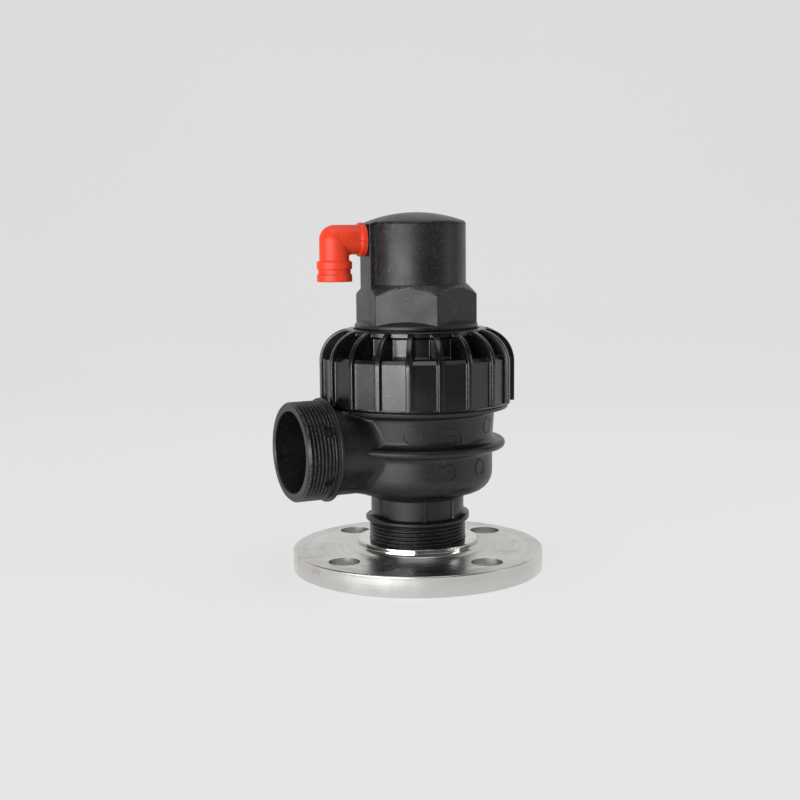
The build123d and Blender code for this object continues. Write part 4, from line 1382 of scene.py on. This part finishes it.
    def build(self, skin: bpy.types.Material) -> bpy.types.Object:
        """Builds the cap and puts it in place of the plain one."""
        cap = part("hexagon_cap", mesh_of("cap", [self.skin()], 30.0), skin)
        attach(cap, "valve")
        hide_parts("cap")
        return cap


@dataclass
class DrainElbow:
    """Swivelling drain elbow with a round outer corner and a grooved mouth.

    Attributes:
        face: Distance of the boss's face.
        reach: Distance of the downward limb's middle.
        limb: Radius of the sideways limb.
        drop: Radius of the downward limb.
        mouth: Height of the mouth.
        bore: Radius inside the mouth and inside the level limb.
        spigot: Radius and length of the spigot in the boss.
        steps: How far the collar, the mouth's rings and its groove stand out from the limb.
        rings_start: How far below the port's axis the mouth's first ring starts.
        columns: Points round the section.
    """

    face: float = 32.5
    reach: float = 51.4
    limb: float = 8.6
    drop: float = 9.15
    mouth: float = 178.0
    bore: tuple[float, float] = (7.4, 3.8)
    spigot: tuple[float, float] = (7.1, 2.5)
    steps: tuple[float, float, float] = (1.3, 1.65, 0.85)
    rings_start: float = 12.6
    columns: int = 96

    def generators(
        self, limb: float, drop: float, start: float, end: float, inner_round: float
    ) -> np.ndarray:
        """Lines along the elbow, one for each angle round its section.

        A line runs level at an offset of radius x cosine above the axis, turns the corner on
        an arc whose radius is that offset, which makes the outer corner a ball, and drops at
        the same offset. Below the axis the two runs meet at a corner rounded by a fillet.

        Args:
            limb: Radius of the level limb.
            drop: Radius of the downward limb.
            start: Distance at which the level limb starts.
            end: Height at which the downward limb ends.
            inner_round: Radius of the fillet inside the bend.

        Returns:
            Array of rows x columns x 3 with the bend in the XZ plane.
        """
        turn = circle(self.columns)[None, :]
        rise, across = np.cos(turn), np.sin(turn)
        fillet = inner_round * step(-rise, -0.2, 1.0)
        outer, inner = np.maximum(rise, 0), np.maximum(-rise, 0)
        up = np.linspace(0, pi / 2, 15)[:, None]
        level = np.linspace(0, 1, 24, endpoint=False)[:, None]
        down = np.linspace(0, 1, 56)[1:, None]
        centre_x = self.reach - limb * inner - fillet
        centre_z = PORT_HEIGHT - drop * inner - fillet
        bend_x = centre_x + np.sin(up) * np.where(rise > 0, drop * outer, fillet)
        bend_z = centre_z + np.cos(up) * np.where(rise > 0, limb * outer, fillet)
        x = [start + (bend_x[:1] - start) * level, bend_x, bend_x[-1:] + 0 * down]
        z = [bend_z[:1] + 0 * level, bend_z, bend_z[-1:] + (end - bend_z[-1:]) * down]
        row = np.arange(len(level) + len(up) + len(down))[:, None]
        width = limb + (drop - limb) * step(row, len(level), len(level) + len(up) - 1)
        return np.stack([np.vstack(x), across * width, np.vstack(z)], axis=-1)

    def skin(self) -> Surface:
        """Outside with its collar and mouth rings, and the hollow mouth inside.

        Collar and rings stand out from the limb along its own radius by the difference
        between their outline and the limb.
        """
        start = self.face + 0.3
        collar_step, ring_step, groove_step = self.steps
        mouth_bore, limb_bore = self.bore
        spigot, deep = self.spigot
        body = self.generators(self.limb, self.drop, start, self.mouth, 1.6)
        x, z = body[..., 0], body[..., 2]
        collar = collar_step * (1 - step(x, start + 3.7, start + 4.2)) * step(x, start - 0.01, start + 0.35)
        collar = collar * (z > PORT_HEIGHT - self.limb - 0.5)
        below = PORT_HEIGHT - self.rings_start - z
        ring = step(below, -0.25, 0.75) * (1 - step(below, 4.85, 5.25))
        groove = step(below, 4.9, 5.3) * (1 - step(below, 7.9, 8.3))
        lower = step(below, 7.9, 8.3)
        edge = 0.35 * step(below, 12.2, 12.5)
        band = ring_step * ring + groove_step * groove + ring_step * lower - edge
        arm = np.arange(len(body))[:, None] < 30
        level, out = np.where(arm, collar, 0.0), np.where(arm, 0.0, band)
        turn = circle(self.columns)
        body[..., 2] += level * np.cos(turn)
        body[..., 0] += out * np.cos(turn)
        body[..., 1] += (level + out) * np.sin(turn)
        inside = self.generators(limb_bore, mouth_bore, self.face - 2.0, self.mouth + 0.2, 0.8)[::-1]
        tip = self.face - deep
        rings = [(tip, 0.0), (tip, spigot), (start, spigot), (start + 0.02, self.limb)]
        end = inside[-1:].mean(axis=1, keepdims=True) + 0 * inside[:1]
        points = np.concatenate([*(self.ring_at(*ring) for ring in rings), body, inside, end])
        return Surface(toward_drain(points), start=End.POLE, end=End.POLE)

    def ring_at(self, distance: float, radius: float) -> np.ndarray:
        """One row of points round the level limb's axis."""
        turn = circle(self.columns)[None, :]
        height = PORT_HEIGHT + radius * np.cos(turn)
        return np.stack([distance + 0 * turn, radius * np.sin(turn), height], axis=-1)

    def build(self, skin: bpy.types.Material) -> bpy.types.Object:
        """Builds the elbow and puts it in place of the plain one."""
        elbow = part("red_elbow", mesh_of("elbow", [self.skin()], 40.0), skin)
        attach(elbow, "elbow")
        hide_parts("drain_elbow")
        return elbow


@dataclass
class RollingSeal:
    """Rubber strip bent like a hook from the slot plate's clamp to the stem's clamp.

    Attributes:
        plate_leg: Distance of the leg along the slot plate.
        stem_leg: Distance of the leg along the float's stem.
        bend: Height where the bend starts.
        feet: Lowest heights of the plate's leg and of the stem's leg.
        screws: Heights of the screws through those legs.
        spacing: Half the distance between the two screws of a leg.
        hole: Radius of a screw's hole.
        thickness: Thickness of the strip.
        width: Width of the strip.
        rounding: Radius of its long edges.
    """

    plate_leg: float = 21.7
    stem_leg: float = 14.1
    bend: float = 198.2
    feet: tuple[float, float] = (184.0, 190.0)
    screws: tuple[float, float] = (186.0, 192.0)
    spacing: float = 4.0
    hole: float = 1.0
    thickness: float = 1.2
    width: float = 12.0
    rounding: float = 0.2

    def middle_line(self) -> tuple[np.ndarray, np.ndarray]:
        """Line in the strip's middle: up the plate, round a half circle, down the stem.

        Returns:
            Points as distance and height, and the outward direction at each.
        """
        middle, swing = (self.plate_leg + self.stem_leg) / 2, (self.plate_leg - self.stem_leg) / 2
        up = np.linspace(self.feet[0], self.bend, 24)
        turn = np.linspace(0, pi, 25)[1:-1]
        down = np.linspace(self.bend, self.feet[1], 15)
        points = np.vstack(
            [
                np.stack([np.full(len(up), self.plate_leg), up], 1),
                np.stack([middle + swing * np.cos(turn), self.bend + swing * np.sin(turn)], 1),
                np.stack([np.full(len(down), self.stem_leg), down], 1),
            ]
        )
        angle = np.concatenate([np.zeros(len(up)), turn, np.full(len(down), pi)])
        return points, np.stack([np.cos(angle), np.sin(angle)], 1)

    def strip(self) -> Surface:
        """Strip: a rectangle with rounded edges, carried along the middle line and closed at its ends."""
        line, outward = self.middle_line()
        corner = np.repeat(np.arange(4), 4)
        turn = corner * pi / 2 + np.tile(np.linspace(0, pi / 2, 4), 4)
        thick = self.thickness / 2 - self.rounding
        wide = self.width / 2 - self.rounding
        off = np.array([1, -1, -1, 1])[corner] * thick + self.rounding * np.cos(turn)
        side = np.array([1, 1, -1, -1])[corner] * wide + self.rounding * np.sin(turn)
        distance = line[:, :1] + outward[:, :1] * off
        height = line[:, 1:] + outward[:, 1:] * off
        points = np.stack([distance, side + 0 * distance, height], axis=-1)
        ends = np.stack([line[:, 0], 0 * line[:, 0], line[:, 1]], axis=-1)[[0, -1], None, :]
        ends = np.repeat(ends, len(turn), axis=1)
        return Surface(toward_drain(np.vstack([ends[:1], points, ends[1:]])), start=End.POLE, end=End.POLE)

    def holes(self) -> list[Surface]:
        """Short rods that cut the screws' holes, two through each leg."""
        rods = []
        for distance, height in zip((self.plate_leg, self.stem_leg), self.screws):
            low, high = -distance - self.thickness, -distance + self.thickness
            profile = outline([(0, low), (self.hole, low), (self.hole, high), (0, high)])
            rod = toward_outlet(turned(profile, round_angles(20)), height)
            for side in (-self.spacing, self.spacing):
                points = toward_drain(rod + np.array([0.0, side, 0.0]))
                rods.append(Surface(points, start=End.POLE, end=End.POLE))
        return rods

    def build(self, skin: bpy.types.Material) -> bpy.types.Object:
        """Builds the seal with its screw holes and puts it in place of the plain one.

        Args:
            skin: The rubber's finish.

        Returns:
            The seal.
        """
        mesh = mesh_of("strip", [self.strip()])
        for rod in self.holes():
            mesh = combine(mesh, mesh_of("screw_hole", [rod]), Cut.TAKE_AWAY)
        seal = part("rolled_seal", mesh, skin)
        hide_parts("rolling_seal")
        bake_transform(seal)
        return seal


@dataclass
class PlainPieces:
    """The pieces whose solids already have the right shape, dressed in their finishes.

    Attributes:
        crease: Angle in degrees above which an edge stays sharp.
        double: Distance in metres below which points are merged.
    """

    crease: float = 28.0
    double: float = 2e-6

    def smoothing(self) -> bpy.types.NodeTree:
        """A geometry group that merges a loose triangle mesh and smooths its shallow edges."""
        tree = bpy.data.node_groups.new("smooth_below_crease", "GeometryNodeTree")
        tree.interface.new_socket("Geometry", in_out="INPUT", socket_type="NodeSocketGeometry")
        tree.interface.new_socket("Geometry", in_out="OUTPUT", socket_type="NodeSocketGeometry")
        come, go = tree.nodes.new("NodeGroupInput"), tree.nodes.new("NodeGroupOutput")
        merge = tree.nodes.new("GeometryNodeMergeByDistance")
        merge.inputs["Distance"].default_value = self.double
        angle = tree.nodes.new("GeometryNodeInputMeshEdgeAngle")
        steep = tree.nodes.new("FunctionNodeCompare")
        steep.data_type, steep.operation = "FLOAT", "GREATER_THAN"
        steep.inputs[1].default_value = radians(self.crease)
        faces = tree.nodes.new("GeometryNodeSetShadeSmooth")
        faces.domain = "FACE"
        faces.inputs["Shade Smooth"].default_value = True
        edges = tree.nodes.new("GeometryNodeSetShadeSmooth")
        edges.domain = "EDGE"
        edges.inputs["Shade Smooth"].default_value = False
        links = tree.links
        links.new(come.outputs[0], merge.inputs["Geometry"])
        links.new(merge.outputs[0], faces.inputs["Geometry"])
        links.new(faces.outputs[0], edges.inputs["Geometry"])
        links.new(angle.outputs["Unsigned Angle"], steep.inputs[0])
        links.new(steep.outputs[0], edges.inputs["Selection"])
        links.new(edges.outputs[0], go.inputs[0])
        return tree

    def dress(self, skins: dict[str, bpy.types.Material]) -> None:
        """Gives every node its finish by the record's slots and smooths its shading.

        Args:
            skins: Materials by slot.
        """
        slots = {entry["node"]: entry["material_slot"] for entry in frame["record"]["subparts"]}
        group = self.smoothing()
        for name, node in frame["nodes"].items():
            skin = skins[slots.get(name, "inner_plastic")]
            if not node.material_slots:
                node.data.materials.append(skin)
            for entry in node.material_slots:
                entry.material = skin
            shade = node.modifiers.new("smooth", "NODES")
            shade.node_group = group
            log.info("%s: dressed in %s", name, skin.name)


# Studio


@dataclass(frozen=True)
class SoftBox:
    """Soft box that faces the middle of the valve.

    Attributes:
        name: Name of the lamp.
        azimuth: Direction from the valve, in degrees from the camera's, to the right.
        rise: Angle above the floor in degrees.
        away: Distance in metres.
        size: Width and height in metres.
        power: Power in watts.
        flagged: Whether a flag at its foot keeps its light off the floor.
    """

    name: str
    azimuth: float
    rise: float
    away: float
    size: tuple[float, float]
    power: float
    flagged: bool = False


@dataclass
class Studio:
    """Pale floor and backdrop, soft boxes and the camera of the photograph.

    Attributes:
        boxes: The soft boxes.
        tint: Colour of their light.
        beam: Angle of their beam in degrees.
        aim: Height of the point they face, in metres.
        room_light: Strength of the room's even light.
        ray_change: How much more of it the camera sees, and gloss.
        set_edge: Distances ahead of the valve, in metres, between which the set starts for gloss.
        gloss_level: Level that gloss sees in front of the set's edge and behind it.
        gloss_share: Share of that level in what gloss sees of the paper.
        direct_level: Level of the paper's own glow for the camera.
        direct_share: Share of that glow in what the camera sees of the paper.
        heading: Direction the camera looks in, in degrees from +Y towards +X.
        pitch: How far it looks down in radians.
        roll: Turn of the picture in radians.
        camera: Place of the camera in millimetres.
        focal: Focal length in pixels of an 800 pixel picture.
    """

    boxes: tuple[SoftBox, ...] = (
        SoftBox("big_soft_box", -34.0, 0.8, 0.95, (0.98, 0.23), 4.2, flagged=True),
        SoftBox("right_soft_box", 78.0, 14.0, 1.7, (0.4, 0.8), 1.5),
        SoftBox("top_soft_box", -10.0, 82.0, 1.5, (1.3, 1.3), 4.8),
    )
    tint: tuple[float, float, float] = (0.965, 0.97, 1.0)
    beam: float = 130.0
    aim: float = 0.11
    room_light: float = 0.28
    ray_change: tuple[float, float] = (0.5, -0.19)
    set_edge: tuple[float, float] = (-0.65, -0.30)
    gloss_level: tuple[float, float] = (0.07, 0.90)
    gloss_share: float = 0.9
    direct_level: float = 0.98
    direct_share: float = 0.62
    heading: float = 26.5
    pitch: float = 0.1248
    roll: float = -0.0089
    camera: tuple[float, float, float] = (-371.9, -722.9, 206.87)
    focal: float = 1327.6

    def directions(self) -> tuple[Vector, Vector, Vector]:
        """Right, up and forward of the camera, with its roll."""
        turn = radians(self.heading)
        forward = Vector((sin(turn) * cos(self.pitch), cos(turn) * cos(self.pitch), -sin(self.pitch)))
        right = Vector((cos(turn), -sin(turn), 0.0))
        up = Vector((sin(turn) * sin(self.pitch), cos(turn) * sin(self.pitch), cos(self.pitch)))
        return (
            right * cos(self.roll) + up * sin(self.roll),
            up * cos(self.roll) - right * sin(self.roll),
            forward,
        )

    def add_camera(self) -> None:
        """Sets the camera at the photograph's place and angle."""
        right, up, forward = self.directions()
        data = bpy.data.cameras.new("camera")
        data.sensor_width = SENSOR
        data.lens = self.focal * SENSOR / PICTURE
        data.shift_y = -1 / PICTURE
        data.clip_start, data.clip_end = 0.01, 30.0
        camera = bpy.data.objects.new("camera", data)
        spin = Matrix((right, up, -forward)).transposed()
        camera.matrix_world = Matrix.Translation(Vector(self.camera) * MM) @ spin.to_4x4()
        bpy.context.scene.collection.objects.link(camera)
        bpy.context.scene.camera = camera

    def add_box(self, box: SoftBox) -> bpy.types.Object:
        """Hangs a soft box and returns its lamp."""
        data = bpy.data.lights.new(box.name, "AREA")
        data.shape, data.energy = "RECTANGLE", box.power
        data.size, data.size_y = box.size
        data.color, data.spread = self.tint, radians(self.beam)
        lamp = bpy.data.objects.new(box.name, data)
        turn, rise = radians(box.azimuth - self.heading), radians(box.rise)
        middle = Vector((0, 0, self.aim))
        out = Vector((sin(turn) * cos(rise), -cos(turn) * cos(rise), sin(rise)))
        lamp.location = middle + out * box.away
        lamp.rotation_euler = (middle - lamp.location).to_track_quat("-Z", "Y").to_euler()
        lamp.visible_camera = False
        bpy.context.scene.collection.objects.link(lamp)
        return lamp

    def flag_off(self, lamp: bpy.types.Object, floor: bpy.types.Object) -> None:
        """Keeps a low lamp's light off the floor, as a black flag at its foot does.

        Args:
            lamp: The lamp.
            floor: The floor it would burn out.
        """
        spared = bpy.data.collections.new("spared_by_" + lamp.name)
        spared.objects.link(floor)
        spared.collection_objects[0].light_linking.link_state = "EXCLUDE"
        lamp.light_linking.receiver_collection = spared

    def add_floor(self) -> bpy.types.Object:
        """Lays the pale floor, which curves up behind the valve into the backdrop.

        The floor runs level, then along a quarter circle of 900 mm, then straight up.
        """
        flat, bend = np.linspace(-3000, 900, 12), np.linspace(0.1, pi / 2, 16)
        reach = np.concatenate([flat, 900 + 900 * np.sin(bend), [1800.0]])
        rise = np.concatenate([np.zeros(12), 900 - 900 * np.cos(bend), [3200.0]])
        turn = radians(self.heading)
        ahead, across = np.meshgrid(reach, np.linspace(-3500, 3500, 9), indexing="ij")
        x = ahead * sin(turn) + across * cos(turn)
        y = ahead * cos(turn) - across * sin(turn)
        points = np.stack([x, y, rise[:, None] + 0 * x], axis=-1).reshape(-1, 3) * MM
        number = np.arange(ahead.size).reshape(ahead.shape)
        corners = [number[:-1, :-1], number[:-1, 1:], number[1:, 1:], number[1:, :-1]]
        quads = np.stack(corners, -1).reshape(-1, 4)
        mesh = bpy.data.meshes.new("floor")
        mesh.from_pydata(points.tolist(), [], quads[:, ::-1].tolist())
        smooth(mesh, 60.0)
        floor = part("floor", mesh, self.paper())
        return floor

    def paper(self) -> bpy.types.Material:
        """Pale matt paper of the floor and backdrop, with a faint cloudy tone.

        The camera and glass see it pale, and so does gloss, except in front of the valve, where
        the set ends. Light that falls on the object still comes from the plain paper.
        """
        board = Board("studio_paper")
        cloud = board.noise(420.0, 2.0)
        dark, light = (0.84, 0.84, 0.84, 1.0), (0.88, 0.88, 0.88, 1.0)
        board.set("Base Color", board.blend(board.spread(cloud, 0.3, 0.7), dark, light))
        board.set("Roughness", 0.9)
        board.set("Specular IOR Level", 0.1)
        nodes, links = board.tree.nodes, board.tree.links
        turn = radians(self.heading)
        ahead = nodes.new("ShaderNodeVectorMath")
        ahead.operation = "DOT_PRODUCT"
        ahead.inputs[1].default_value = (sin(turn), cos(turn), 0.0)
        links.new(board.coordinates, ahead.inputs[0])
        path = nodes.new("ShaderNodeLightPath")
        direct = board.math("MAXIMUM", path.outputs["Is Camera Ray"], path.outputs["Is Transmission Ray"])
        level = board.spread(ahead.outputs["Value"], *self.set_edge, *self.gloss_level)
        level = board.math("MAXIMUM", level, board.math("MULTIPLY", direct, self.direct_level))
        glow = nodes.new("ShaderNodeEmission")
        links.new(level, glow.inputs["Strength"])
        share = board.math("MULTIPLY", path.outputs["Is Glossy Ray"], self.gloss_share)
        share = board.math("MAXIMUM", share, board.math("MULTIPLY", direct, self.direct_share))
        mix = nodes.new("ShaderNodeMixShader")
        links.new(share, mix.inputs[0])
        links.new(board.shader.outputs[0], mix.inputs[1])
        links.new(glow.outputs[0], mix.inputs[2])
        links.new(mix.outputs[0], board.output.inputs[0])
        return board.material

    def add_world(self) -> None:
        """Fills the room with even pale light."""
        world = bpy.data.worlds.new("room")
        world.use_nodes = True
        sky = world.node_tree.nodes["Background"]
        sky.inputs["Color"].default_value = (0.97, 0.975, 1.0, 1.0)
        nodes, links = world.node_tree.nodes, world.node_tree.links
        path, level = nodes.new("ShaderNodeLightPath"), self.room_light
        for ray, change in zip(("Is Camera Ray", "Is Glossy Ray"), self.ray_change):
            strength = nodes.new("ShaderNodeMath")
            strength.operation = "MULTIPLY_ADD"
            strength.inputs[1].default_value = change
            links.new(path.outputs[ray], strength.inputs[0])
            if isinstance(level, float):
                strength.inputs[2].default_value = level
            else:
                links.new(level, strength.inputs[2])
            level = strength.outputs[0]
        links.new(level, sky.inputs["Strength"])
        bpy.context.scene.world = world

    def build(self) -> None:
        """Sets up floor, light and camera."""
        floor = self.add_floor()
        self.add_world()
        for box in self.boxes:
            lamp = self.add_box(box)
            if box.flagged:
                self.flag_off(lamp, floor)
        self.add_camera()
        bpy.context.scene.view_settings.view_transform = "Standard"


def main() -> None:
    """Dresses the plain pieces, builds the detailed ones in order and sets up the studio."""
    logging.basicConfig(level=logging.INFO)
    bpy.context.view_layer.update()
    skins = finishes()
    PlainPieces().dress(skins)
    ValveBody().build(skins["body_plastic"])
    UnionNut().build(skins["nut_plastic"])
    Cap().build(skins["cap_plastic"])
    DrainElbow().build(skins["elbow_plastic"])
    RollingSeal().build(skins["seal_rubber"])
    Studio().build()


if __name__ == "__main__":
    main()
